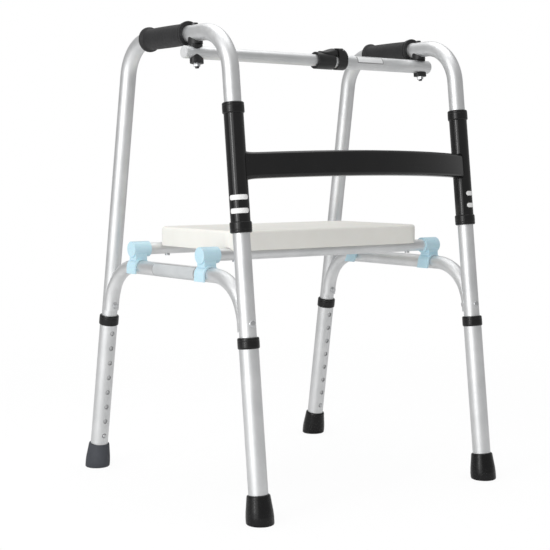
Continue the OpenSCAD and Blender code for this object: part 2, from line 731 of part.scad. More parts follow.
module bar_outer_tube() color("#d2d3d4") bar_outer();
module bar_left_cap() {
    color("#c4c5c6") bar_axis() translate([-bar_end, 0, 0]) mirror([1, 0, 0])
        bar_cap(bar_inner_r, bar_inner_r - bar_inner_wall);
}
module bar_right_cap() {
    color("#c4c5c6") bar_axis() translate([bar_end, 0, 0]) bar_cap(bar_outer_r, bar_bore_r);
}
module left_bar_upper_saddle() color("#343436") upper_saddle(-1, bar_inner_r);
module right_bar_upper_saddle() color("#343436") upper_saddle(1, bar_outer_r);
module left_bar_lower_saddle() color("#343436") lower_saddle(-1, bar_inner_r);
module right_bar_lower_saddle() color("#343436") lower_saddle(1, bar_outer_r);
module clamp_collar() color("#2c2c2e") clamp_body();
module clamp_ring() color("#2c2c2e") lever_ring();
module clamp_pin() color("#9a9b9c") lever_pin();
module clamp_lever() color("#303032") lever();
module seat_board() color("#f0f0e8") board();
module front_seat_tube() color("#cfd0d1") seat_tube(seat_front_y);
module rear_seat_tube() color("#cfd0d1") seat_tube(seat_rear_y);
module seat_screws() color("#8a8b8c") screws();
module front_left_clip() color("#bfe0f4") clip(seat_front_y, front_flare);
module front_right_clip() color("#bfe0f4") mirror([1, 0, 0]) clip(seat_front_y, front_flare);
module rear_left_clip() color("#bfe0f4") clip(seat_rear_y, rear_flare);
module rear_right_clip() color("#bfe0f4") mirror([1, 0, 0]) clip(seat_rear_y, rear_flare);
module front_left_leg() color("#dadbdc") left() front_leg() lower_leg();
module front_right_leg() color("#dadbdc") right() front_leg() lower_leg();
module rear_left_leg() color("#dadbdc") left() rear_leg() lower_leg();
module rear_right_leg() color("#dadbdc") right() rear_leg() lower_leg();
module front_left_collar() color("#2a2a2c") left() front_leg(leg_top) collar(leg_r, leg_bore_r);
module front_right_collar() color("#2a2a2c") right() front_leg(leg_top) collar(leg_r, leg_bore_r);
module rear_left_collar() color("#2a2a2c") left() rear_leg(leg_top) collar(leg_r, leg_bore_r);
module rear_right_collar() color("#2a2a2c") right() rear_leg(leg_top) collar(leg_r, leg_bore_r);
module front_left_foot() color("#242426") above_floor() left() front_leg() foot(front_lean);
module front_right_foot() color("#242426") above_floor() right() front_leg() foot(front_lean);
module rear_left_foot() color("#242426") above_floor() left() rear_leg() foot(rear_lean);
module rear_right_foot() color("#242426") above_floor() right() rear_leg() foot(rear_lean);
module front_left_button() color("#d0d1d2") left() front_leg(hole_first) button();
module front_right_button() color("#d0d1d2") right() front_leg(hole_first) button();
module rear_left_button() color("#d0d1d2") left() rear_leg(hole_first) button();
module rear_right_button() color("#d0d1d2") right() rear_leg(hole_first) button();

crossbar();
left_sleeve();
right_sleeve();
left_sleeve_top_collar();
left_sleeve_bottom_collar();
right_sleeve_top_collar();
right_sleeve_bottom_collar();
left_side_tube();
right_side_tube();
left_grip();
right_grip();
left_rail();
right_rail();
left_rail_bolts();
right_rail_bolts();
left_handle_saddle();
right_handle_saddle();
left_bar_bolt();
right_bar_bolt();
left_bar_nut();
right_bar_nut();
left_button_springs();
right_button_springs();
bar_inner_tube();
bar_outer_tube();
bar_left_cap();
bar_right_cap();
left_bar_upper_saddle();
right_bar_upper_saddle();
left_bar_lower_saddle();
right_bar_lower_saddle();
clamp_collar();
clamp_ring();
clamp_pin();
clamp_lever();
seat_board();
front_seat_tube();
rear_seat_tube();
seat_screws();
front_left_clip();
front_right_clip();
rear_left_clip();
rear_right_clip();
front_left_leg();
front_right_leg();
rear_left_leg();
rear_right_leg();
front_left_collar();
front_right_collar();
rear_left_collar();
rear_right_collar();
front_left_foot();
front_right_foot();
rear_left_foot();
rear_right_foot();
front_left_button();
front_right_button();
rear_left_button();
rear_right_button();
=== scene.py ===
"""Looks of a folding walking frame with a lift-off seat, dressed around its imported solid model.

All lengths are in metres, in the row frame: +Z up, -Y the front, +X to the right of the front.
"""

import json
import logging
import math
from collections.abc import Callable
from dataclasses import dataclass
from enum import Enum

import bmesh
import bpy
import numpy as np
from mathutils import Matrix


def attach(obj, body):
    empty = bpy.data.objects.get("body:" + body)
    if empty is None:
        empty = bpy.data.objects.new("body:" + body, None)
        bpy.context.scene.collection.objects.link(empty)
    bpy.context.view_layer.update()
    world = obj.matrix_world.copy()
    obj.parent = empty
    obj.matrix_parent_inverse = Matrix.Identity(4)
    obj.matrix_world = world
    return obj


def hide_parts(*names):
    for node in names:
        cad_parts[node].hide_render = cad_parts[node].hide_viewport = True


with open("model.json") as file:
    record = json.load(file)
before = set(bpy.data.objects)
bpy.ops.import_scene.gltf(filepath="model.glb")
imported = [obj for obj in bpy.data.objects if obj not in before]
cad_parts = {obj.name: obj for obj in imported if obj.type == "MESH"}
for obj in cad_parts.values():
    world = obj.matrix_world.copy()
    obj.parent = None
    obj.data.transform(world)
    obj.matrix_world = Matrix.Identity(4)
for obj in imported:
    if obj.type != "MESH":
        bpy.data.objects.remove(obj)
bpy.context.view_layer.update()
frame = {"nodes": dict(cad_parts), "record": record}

LOG = logging.getLogger("walking_frame")
RING = 64
TURN = 2.0 * math.pi
QUARTER = math.pi / 2
X_AXIS, Y_AXIS, Z_AXIS = np.eye(3)
SEAT_FIT = 0.00005
RUNNING_FIT = 0.0001
FILM_GAP = 0.00004
MERGE_DISTANCE = 2e-6
THIN_FACE = 1e-7
FILM_CORNER = 0.15
ROUND_LIMIT = 0.985
DRAWN_OUT = (1.0, 0.03, 1.0)
EDGE_SHARE = 0.45
SHORTEST_EDGE = 1e-9
PLATE_ROWS = 40
NOISE_LOW, NOISE_HIGH = 0.3, 0.7
FINE_DETAIL = 2.0
CLOUD_DETAIL = 4.0

Colour = tuple[float, float, float]
Place = tuple[float, float, float]
Corners = list[tuple[float, float]]
Socket = bpy.types.NodeSocket


class Sign(Enum):
    """A choice between two signs, whose names are also words of node and body names."""

    @property
    def word(self) -> str:
        """The choice's word in node and body names."""
        return self.name.lower()


class Side(Sign):
    """The two side frames, by the sign of their X."""

    LEFT = -1
    RIGHT = 1


class End(Sign):
    """The two legs of a side frame, by the sign of the way from the leg to the middle along Y."""

    FRONT = 1
    REAR = -1


class Crease(Enum):
    """Kinds of pieces, by the turn in degrees beyond which their edges stay sharp."""

    TURNED = 30.0
    MOULDED = 34.0
    PAD = 36.0
    BENT = 38.0
    SOFT = 40.0
    CAP = 50.0
    TRIM = 60.0


class Grain(Enum):
    """Which coordinates a metal's drawing lines follow."""

    ALONG_TUBE = "UV"
    EVEN = "Object"


def ring_angles(count: int = RING) -> np.ndarray:
    """Evenly spaced angles of a closed ring."""
    return np.linspace(0.0, TURN, count, endpoint=False)


def smooth(value: np.ndarray) -> np.ndarray:
    """Smooth step: t t (3 - 2 t) of the value held between 0 and 1."""
    held = np.clip(value, 0.0, 1.0)
    return held * held * (3.0 - 2.0 * held)


def soft_corners(points: Corners, radius: float, steps: int = 5) -> np.ndarray:
    """Round the inner corners of a profile line with a parabola that starts and ends on its two edges.

    Args:
        points: Corners of the profile in order.
        radius: Length that the rounding takes from each edge, held below half of the edge.
        steps: Points of one rounding.

    Returns:
        Array of profile points.
    """
    line = np.asarray(points, float)
    corner = line[1:-1]
    edges = (line[:-2] - corner, line[2:] - corner)
    lengths = [np.maximum(np.linalg.norm(edge, axis=1), SHORTEST_EDGE) for edge in edges]
    cuts = [np.minimum(radius / length, EDGE_SHARE) for length in lengths]
    start, stop = (corner + edge * cut[:, None] for edge, cut in zip(edges, cuts))
    t = np.linspace(0.0, 1.0, steps)[None, :, None]
    arc = (1 - t) ** 2 * start[:, None] + 2 * t * (1 - t) * corner[:, None] + t**2 * stop[:, None]
    return np.vstack([line[:1], arc.reshape(-1, 2), line[-1:]])


def tube_profile(
    bore: float, radius: float, start: float, stop: float, corner: float, steps: int = 5
) -> np.ndarray:
    """Profile of a straight tube with softened rims, from the middle of its bore round to there again.

    Args:
        bore: Inner radius.
        radius: Outer radius.
        start: Place of one end along the tube.
        stop: Place of the other end.
        corner: Rounding of the rims.
        steps: Points of one rounding.

    Returns:
        Rows of radius and place along the tube.
    """
    seam = (bore, (start + stop) / 2)
    ends = [(bore, start), (radius, start), (radius, stop), (bore, stop)]
    return soft_corners([seam, *ends, seam], corner, steps)


def rounded_rectangle(half: tuple[float, float], corner: float, steps: int) -> tuple[np.ndarray, np.ndarray]:
    """The four corner arcs of a rounded rectangle.

    Args:
        half: Half of its two sides.
        corner: Radius of its corners.
        steps: Points of one arc.

    Returns:
        Points of the arcs and their outward directions, corner by corner.
    """
    turn = QUARTER * np.arange(4)[:, None] + np.linspace(0.0, QUARTER, steps)
    out = np.stack([np.cos(turn), np.sin(turn)], -1)
    quadrant = np.array([[1.0, 1.0], [-1.0, 1.0], [-1.0, -1.0], [1.0, -1.0]])
    return (quadrant * (np.array(half) - corner))[:, None] + corner * out, out


def capped(body: np.ndarray) -> np.ndarray:
    """A grid of closed sections with a middle point at both ends, the mean of the end's section."""
    middle = np.broadcast_to(body.mean(axis=1, keepdims=True), body.shape)
    return np.concatenate([middle[:1], body, middle[-1:]])


@dataclass(frozen=True)
class Line:
    """A straight line with two unit directions across it, about which pieces are turned."""

    origin: np.ndarray
    first: np.ndarray
    second: np.ndarray
    along: np.ndarray

    def at(self, distance: float | np.ndarray) -> np.ndarray:
        """Points on the line at distances from its origin."""
        return self.origin + np.asarray(distance, float)[..., None] * self.along

    def around(self, angle: np.ndarray) -> np.ndarray:
        """Unit directions across the line at angles: first cos a + second sin a."""
        return np.cos(angle)[..., None] * self.first + np.sin(angle)[..., None] * self.second

    def turned(self, profile: np.ndarray) -> np.ndarray:
        """A profile turned about the line: point = origin + along s + r (first cos a + second sin a).

        Args:
            profile: Rows of radius and distance along the line.

        Returns:
            Grid of points, profile rows by ring angles.
        """
        return self.at(profile[:, 1])[:, None] + profile[:, 0, None, None] * self.around(ring_angles())

    def plate(
        self, start: float, length: float, radius: float, thick: float, half_angle: float,
        round_ends: bool = False,
    ) -> np.ndarray:
        """A thin plate bent around a tube: a flat section carried round an arc about the first direction.

        Round ends are half circles: the length shrinks to sqrt(1 - u u) of itself, where u goes from 0 to 1
        over the last half length of the arc.

        Args:
            start: Place of the plate's end along the line.
            length: Length of the plate along the line.
            radius: Radius of the tube.
            thick: Thickness of the plate.
            half_angle: Half of the arc that the plate covers.
            round_ends: Whether the two ends of the arc are half round.

        Returns:
            Closed grid, whose first and last rows are the middles of the two ends.
        """
        low = radius + FILM_GAP
        section = tube_profile(low, low + thick, 0.0, length, FILM_CORNER * thick, steps=3)[:-1]
        rows = 2 * PLATE_ROWS if round_ends else PLATE_ROWS
        angle = np.linspace(-half_angle, half_angle, rows)
        shrink = np.ones_like(angle)
        if round_ends:
            rise = np.clip((np.abs(angle) - half_angle) / (length / 2 / radius) + 1.0, 0.0, ROUND_LIMIT)
            shrink = np.sqrt(1.0 - rise * rise)
        along = start + length / 2 + (section[:, 1] - length / 2) * shrink[:, None]
        return capped(self.at(along) + section[:, 0, None] * self.around(angle)[:, None])


@dataclass(frozen=True)
class Stance:
    """The driving sizes of the frame and the places that follow from them."""

    track: float = 0.451
    base_depth: float = 0.456
    side_toe: float = math.radians(1.1)
    front_lean: float = math.radians(6.3)
    rear_lean: float = math.radians(9.1)
    handle_height: float = 0.706
    tube_radius: float = 0.0127
    leg_radius: float = 0.0144
    bar_place: Place = (0.2271028, -0.0692794, 0.6769507)
    inner_bar_radius: float = 0.0095
    outer_bar_radius: float = 0.011

    def lean(self, end: End) -> float:
        """Lean of a leg in the side view, with the top towards the middle."""
        return self.front_lean if end is End.FRONT else self.rear_lean

    def leg(self, end: End) -> Line:
        """A leg's axis from the floor up, in the left side's plane.

        Args:
            end: Front or rear leg.

        Returns:
            The line, with X and the inward direction across it.
        """
        cosine, sine = math.cos(self.lean(end)), math.sin(self.lean(end))
        foot = np.array([0.0, -end.value * self.base_depth / 2, 0.0])
        inward = np.array([0.0, end.value * cosine, -sine])
        return Line(foot, X_AXIS, inward, np.array([0.0, end.value * sine, cosine]))

    def leg_y(self, end: End, height: float) -> float:
        """Place of a leg's axis along Y at a height, before the side opens by its toe."""
        return end.value * (height * math.tan(self.lean(end)) - self.base_depth / 2)

    def front_leg(self, side: Side) -> Line:
        """A front leg's axis in the row frame, with the outward and rearward directions across it."""
        leg, outward = self.leg(End.FRONT), side.value * X_AXIS
        return Line(leg.origin + self.track / 2 * outward, outward, leg.second, leg.along)

    def bar(self) -> Line:
        """The top bar's axis to the right, from the middle of the frame."""
        return Line(np.array([0.0, *self.bar_place[1:]]), Y_AXIS, Z_AXIS, X_AXIS)

    def opened(self, points: np.ndarray, side: Side) -> np.ndarray:
        """Turn points of the left side's plane by the toe angle and mirror them for the right side.

        The turn about the front leg's direction k is p cos t + (k x p) sin t + k (k.p)(1 - cos t).

        Args:
            points: Array of points with X measured from the side's own plane.
            side: The side that the points belong to.

        Returns:
            The points in the row frame.
        """
        leg = self.leg(End.FRONT)
        arm = np.asarray(points, float) - leg.origin
        cosine, sine = math.cos(self.side_toe), math.sin(self.side_toe)
        along = (arm @ leg.along)[..., None] * leg.along
        turned = arm * cosine + np.cross(leg.along, arm) * sine + along * (1.0 - cosine)
        placed = turned + leg.origin - self.track / 2 * X_AXIS
        placed[..., 0] *= -side.value
        return placed


class Piece:
    """One mesh of the dressed model, made of closed grids, which rides on a body of the frame."""

    def __init__(self, name: str, body: str, slot: str | None, material: bpy.types.Material) -> None:
        """Start an empty piece.

        Args:
            name: Name of the piece.
            body: Body that carries it.
            slot: Material slot that it stands for, if it has one.
            material: Its material.
        """
        self.name = name
        self.body = body
        self.slot = slot
        self.material = material
        self.grids: list[np.ndarray] = []

    def add(self, grid: np.ndarray) -> "Piece":
        """Add a grid whose columns close on themselves and whose first and last rows are poles."""
        self.grids.append(np.asarray(grid, float))
        return self

    @staticmethod
    def _quads(rows: int, cols: int, first: int) -> np.ndarray:
        """Corner numbers of a closed grid's quads.

        Args:
            rows: Rows of the grid.
            cols: Columns of the grid, the last of which is joined to the first.
            first: Number of the grid's first point in the mesh.

        Returns:
            The four corners of every quad.
        """
        here = first + np.arange(rows * cols).reshape(rows, cols)
        after = np.roll(here, -1, axis=1)
        return np.stack([here[:-1], after[:-1], after[1:], here[1:]], -1).reshape(-1, 4)

    @staticmethod
    def _unwrapped(grid: np.ndarray) -> np.ndarray:
        """Texture places of a grid's quads: metres around and metres along.

        Args:
            grid: Closed grid of points.

        Returns:
            Places of the four corners of every quad.
        """
        around = np.linalg.norm(np.diff(np.concatenate([grid, grid[:, :1]], 1), axis=1), axis=2).max(axis=0)
        along = np.linalg.norm(np.diff(grid, axis=0), axis=2).max(axis=1)
        u = np.concatenate([[0.0], np.cumsum(around)])
        v = np.concatenate([[0.0], np.cumsum(along)])
        row, col = (axis.ravel() for axis in np.indices((len(along), len(around))))
        corner = [(row, col), (row, col + 1), (row + 1, col + 1), (row + 1, col)]
        return np.stack([np.stack([u[c], v[r]], -1) for r, c in corner], 1)

    def make(self, crease: Crease, *replaces: str) -> None:
        """Build the mesh, merge its poles, point its faces outwards and put it on its body.

        Args:
            crease: Which of its edges stay sharp.
            replaces: Nodes of the frame that the piece stands for.
        """
        starts = np.cumsum([0] + [grid.shape[0] * grid.shape[1] for grid in self.grids])
        points = [grid.reshape(-1, 3) for grid in self.grids]
        quads = [self._quads(*grid.shape[:2], first) for grid, first in zip(self.grids, starts)]
        places = [self._unwrapped(grid) for grid in self.grids]
        mesh = bpy.data.meshes.new(self.name)
        mesh.from_pydata(np.vstack(points).tolist(), [], np.vstack(quads).tolist())
        layer = mesh.uv_layers.new(name="tube_places")
        layer.data.foreach_set("uv", np.vstack(places).astype(np.float32).ravel())
        self._clean(mesh)
        mesh.polygons.foreach_set("use_smooth", np.ones(len(mesh.polygons), bool))
        mesh.set_sharp_from_angle(angle=math.radians(crease.value))
        mesh.materials.append(self.material)
        thing = bpy.data.objects.new(self.name, mesh)
        bpy.context.scene.collection.objects.link(thing)
        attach(thing, self.body)
        if replaces:
            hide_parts(*replaces)
        LOG.info("%s: %d faces on %s", self.name, len(mesh.polygons), self.body)

    @staticmethod
    def _clean(mesh: bpy.types.Mesh) -> None:
        """Merge the poles' points and turn every face outwards.

        Args:
            mesh: Mesh that is changed in place.
        """
        work = bmesh.new()
        work.from_mesh(mesh)
        bmesh.ops.remove_doubles(work, verts=work.verts, dist=MERGE_DISTANCE)
        bmesh.ops.dissolve_degenerate(work, edges=work.edges, dist=THIN_FACE)
        bmesh.ops.recalc_face_normals(work, faces=work.faces)
        work.to_mesh(mesh)
        work.free()


class Nodes:
    """A node tree that is filled by short calls."""

    def __init__(self, tree: bpy.types.NodeTree) -> None:
        """Empty the tree."""
        self.tree = tree
        tree.nodes.clear()

    def node(self, kind: str, *first: Socket, **named: object) -> bpy.types.Node:
        """A new node, whose inputs are joined to sockets or set to values.

        Args:
            kind: Kind of the node, as its type's name goes on after the common start.
            first: Sockets for its first inputs, in order.
            named: Sockets or values for inputs by their names, with underscores for spaces.

        Returns:
            The node.
        """
        node = self.tree.nodes.new(f"ShaderNode{kind}")
        by_name = [(node.inputs[name.replace("_", " ")], value) for name, value in named.items()]
        for target, value in [*zip(node.inputs, first), *by_name]:
            if isinstance(value, Socket):
                self.tree.links.new(value, target)
            else:
                target.default_value = value
        return node

    def shade(self, kind: str, grey: float) -> Socket:
        """A plain shader of one grey."""
        return self.node(kind, Color=(grey, grey, grey, 1.0)).outputs[0]

    def mix(self, share: Socket, first: Socket, second: Socket) -> Socket:
        """The second shader over the first one by a share."""
        return self.node("MixShader", share, first, second).outputs["Shader"]

    def spread(
        self, value: Socket, low: float, high: float, start: float = NOISE_LOW, stop: float = NOISE_HIGH
    ) -> Socket:
        """Map a value from start and stop to low and high, and hold it between them."""
        node = self.node("MapRange", value, From_Min=start, From_Max=stop, To_Min=low, To_Max=high)
        return node.outputs["Result"]


class Shader(Nodes):
    """A piece's material: a Principled shader whose colour, roughness and normal vary."""

    def __init__(self, name: str) -> None:
        """Start an empty material.

        Args:
            name: Name of the material.
        """
        self.material = bpy.data.materials.new(name)
        self.material.use_nodes = True
        super().__init__(self.material.node_tree)
        self.places = self.node("TexCoord").outputs

    def finished(self, **inputs: object) -> bpy.types.Material:
        """The material, with sockets and values for the inputs of its Principled shader."""
        self.node("OutputMaterial", self.node("BsdfPrincipled", **inputs).outputs["BSDF"])
        return self.material

    def noise(self, scale: float, detail: float, grain: Grain = Grain.EVEN) -> Socket:
        """Noise over the piece.

        Args:
            scale: Size of the noise, in cells per metre.
            detail: Octaves.
            grain: Object places, or the piece's own places, which draw the noise out along the tube.

        Returns:
            The noise's value socket.
        """
        place = self.places[grain.value]
        if grain is Grain.ALONG_TUBE:
            place = self.node("Mapping", place, Scale=DRAWN_OUT).outputs["Vector"]
        return self.node("TexNoise", place, Scale=scale, Detail=detail).outputs["Fac"]

    def ramp(self, value: Socket, dark: Colour, light: Colour) -> Socket:
        """Colours between dark and light.

        Args:
            value: Socket that picks the colour.
            dark: Colour at low values.
            light: Colour at high values.

        Returns:
            Socket of the colour.
        """
        node = self.node("ValToRGB", value)
        for element, place, colour in zip(node.color_ramp.elements, (NOISE_LOW, NOISE_HIGH), (dark, light)):
            element.position = place
            element.color = (*colour, 1.0)
        return node.outputs["Color"]

    def bump(self, height: Socket, depth: float, strength: float, **under: Socket) -> Socket:
        """A bumped normal from a height of the given depth in metres, over another normal if one is given."""
        node = self.node("Bump", Height=height, Distance=depth, Strength=strength, **under)
        return node.outputs["Normal"]


@dataclass(frozen=True)
class Metal:
    """Bare or plated metal: drawing lines or an even satin, slight clouding and handling marks."""

    name: str
    dark: Colour
    light: Colour
    rough_low: float
    rough_high: float
    grain: Grain = Grain.EVEN
    line_scale: float = 1600.0
    line_depth: float = 0.00002
    line_strength: float = 0.35
    cloud_scale: float = 22.0
    mark_scale: float = 160.0
    mark_detail: float = 6.0

    def make(self) -> bpy.types.Material:
        """Build the material.

        Returns:
            The new material.
        """
        shader = Shader(self.name)
        lines = shader.noise(self.line_scale, FINE_DETAIL, self.grain)
        marks = shader.noise(self.mark_scale, self.mark_detail)
        return shader.finished(
            Metallic=1.0,
            Base_Color=shader.ramp(shader.noise(self.cloud_scale, CLOUD_DETAIL), self.dark, self.light),
            Roughness=shader.spread(marks, self.rough_low, self.rough_high),
            Normal=shader.bump(lines, self.line_depth, self.line_strength),
        )


@dataclass(frozen=True)
class Moulding:
    """Moulded plastic or rubber: fine grain over a faint flow pattern, with a little sheen variation."""

    name: str
    dark: Colour
    light: Colour
    rough_low: float
    rough_high: float
    grain_scale: float = 2600.0
    grain_depth: float = 0.00006
    grain_strength: float = 0.4
    coat: float = 0.0
    subsurface: float = 0.0
    ior: float = 1.48
    coat_roughness: float = 0.06
    subsurface_scale: float = 0.004
    cloud_scale: float = 30.0
    mark_scale: float = 240.0
    mark_detail: float = 5.0
    wave_scale: float = 55.0
    wave_depth: float = 0.0002
    wave_strength: float = 0.12

    def make(self) -> bpy.types.Material:
        """Build the material.

        Returns:
            The new material.
        """
        shader = Shader(self.name)
        waves = shader.bump(shader.noise(self.wave_scale, FINE_DETAIL), self.wave_depth, self.wave_strength)
        pores = shader.noise(self.grain_scale, FINE_DETAIL)
        marks = shader.noise(self.mark_scale, self.mark_detail)
        return shader.finished(
            IOR=self.ior, Coat_Weight=self.coat, Coat_Roughness=self.coat_roughness,
            Subsurface_Weight=self.subsurface, Subsurface_Scale=self.subsurface_scale,
            Base_Color=shader.ramp(shader.noise(self.cloud_scale, CLOUD_DETAIL), self.dark, self.light),
            Roughness=shader.spread(marks, self.rough_low, self.rough_high),
            Normal=shader.bump(pores, self.grain_depth, self.grain_strength, Normal=waves),
        )


class Finishes:
    """All finishes of the object by the record's slot names or by their own, built once."""

    def __init__(self) -> None:
        """Build every finish."""
        tube = dict(dark=(0.70, 0.71, 0.715), light=(0.80, 0.805, 0.81), rough_low=0.46, rough_high=0.54)
        film = dict(grain_scale=3000.0, grain_depth=0.00003, grain_strength=0.2)
        finishes = {
            "aluminium_tube": Metal("satin_aluminium", **tube),
            "drawn_tube": Metal("drawn_aluminium", **tube, grain=Grain.ALONG_TUBE, line_scale=900.0),
            "bright_steel": Metal("zinc_steel", (0.52, 0.53, 0.54), (0.64, 0.65, 0.66), 0.25, 0.36),
            # Painted shade: hole_shade and button_shade are dark greys for rings that stand in for the shade
            # inside the leg's holes and around the button.
            "hole_shade": Metal("hole_shade", (0.30, 0.30, 0.302), (0.38, 0.38, 0.382), 0.5, 0.6),
            "button_shade": Metal("button_shade", (0.07, 0.07, 0.071), (0.11, 0.11, 0.111), 0.5, 0.6),
            "dark_steel": Metal("black_steel", (0.05, 0.05, 0.052), (0.09, 0.09, 0.093), 0.32, 0.45),
            "black_enamel": Moulding(
                "black_enamel", (0.003, 0.003, 0.0032), (0.005, 0.005, 0.0052), 0.12, 0.18,
                900.0, 0.00002, 0.08, coat=0.12, ior=1.43,
            ),
            "collar_plastic": Moulding(
                "collar_moulding", (0.004, 0.004, 0.0042), (0.007, 0.007, 0.0072), 0.2, 0.28,
                2200.0, 0.00003, 0.2, ior=1.42,
            ),
            "foot_rubber": Moulding(
                "foot_rubber", (0.003, 0.003, 0.0032), (0.005, 0.005, 0.0052), 0.22, 0.3,
                1900.0, 0.00001, 0.1, ior=1.38,
            ),
            "worn_rubber": Moulding(
                "worn_rubber", (0.043, 0.047, 0.056), (0.058, 0.062, 0.073), 0.6, 0.76, 1900.0, 0.0001, 0.5,
            ),
            "grip_foam": Moulding(
                "grip_vinyl", (0.012, 0.012, 0.013), (0.018, 0.018, 0.019), 0.5, 0.66, 1500.0, 0.00012, 0.55,
            ),
            "clamp_plastic": Moulding(
                "clamp_moulding", (0.008, 0.008, 0.0083), (0.014, 0.014, 0.0143), 0.3, 0.42,
            ),
            "saddle_plastic": Moulding(
                "saddle_moulding", (0.010, 0.010, 0.0103), (0.017, 0.017, 0.0174), 0.4, 0.52,
            ),
            "seat_plastic": Moulding(
                "seat_moulding", (0.845, 0.835, 0.785), (0.875, 0.865, 0.82), 0.42, 0.54,
                2200.0, 0.00008, 0.35, subsurface=0.03,
            ),
            "clip_plastic": Moulding(
                "clip_moulding", (0.50, 0.72, 0.82), (0.56, 0.77, 0.86), 0.26, 0.38,
                1800.0, 0.00004, 0.25, subsurface=0.05,
            ),
            "cap_plastic": Moulding("cap_moulding", (0.55, 0.555, 0.56), (0.64, 0.645, 0.65), 0.38, 0.5),
            "band_tape": Moulding(
                "band_tape", (0.80, 0.80, 0.79), (0.88, 0.88, 0.87), 0.3, 0.42, 3200.0, 0.00003, 0.3,
            ),
            "label_border": Moulding(
                "label_border", (0.22, 0.22, 0.222), (0.28, 0.28, 0.282), 0.4, 0.5, **film,
            ),
            "rail_film": Moulding("rail_film", (0.50, 0.52, 0.53), (0.58, 0.60, 0.61), 0.28, 0.4, **film),
            "blank_label": Moulding(
                "blank_label", (0.74, 0.75, 0.755), (0.81, 0.815, 0.82), 0.28, 0.4, **film,
            ),
        }
        self.materials = {name: finish.make() for name, finish in finishes.items()}

    def piece(self, name: str, body: str, slot: str | None, finish: str | None = None) -> Piece:
        """An empty piece of a slot, in the slot's own finish or in the finish that is named."""
        return Piece(name, body, slot, self.materials[finish or slot])

    def dress_nodes(self) -> None:
        """Give every node of the frame the finish of its slot."""
        for entry in frame["record"]["subparts"]:
            mesh = frame["nodes"][entry["node"]].data
            mesh.materials.clear()
            mesh.materials.append(self.materials[entry["material_slot"]])


@dataclass
class Label:
    """A bare label on a tube: a darker border under a smaller pale plate."""

    finishes: Finishes
    name: str
    body: str
    film: str
    line: Line
    radius: float
    start: float
    length: float
    inset: float
    border_arc: float
    plate_arc: float
    border_thick: float = 0.00012
    plate_thick: float = 0.00014

    def build(self, placed: Callable[[np.ndarray], np.ndarray] = np.asarray) -> None:
        """Make the border and the plate, each a plate bent around the tube.

        Args:
            placed: Takes a grid from the tube's own places to the row frame.
        """
        border = self.line.plate(self.start, self.length, self.radius, self.border_thick, self.border_arc)
        plate = self.line.plate(
            self.start + self.inset, self.length - 2 * self.inset, self.radius + self.border_thick,
            self.plate_thick, self.plate_arc,
        )
        for part, finish, grid in (("border", "label_border", border), ("blank", self.film, plate)):
            piece = self.finishes.piece(f"{self.name}_{part}", self.body, None, finish)
            piece.add(placed(grid)).make(Crease.TRIM)


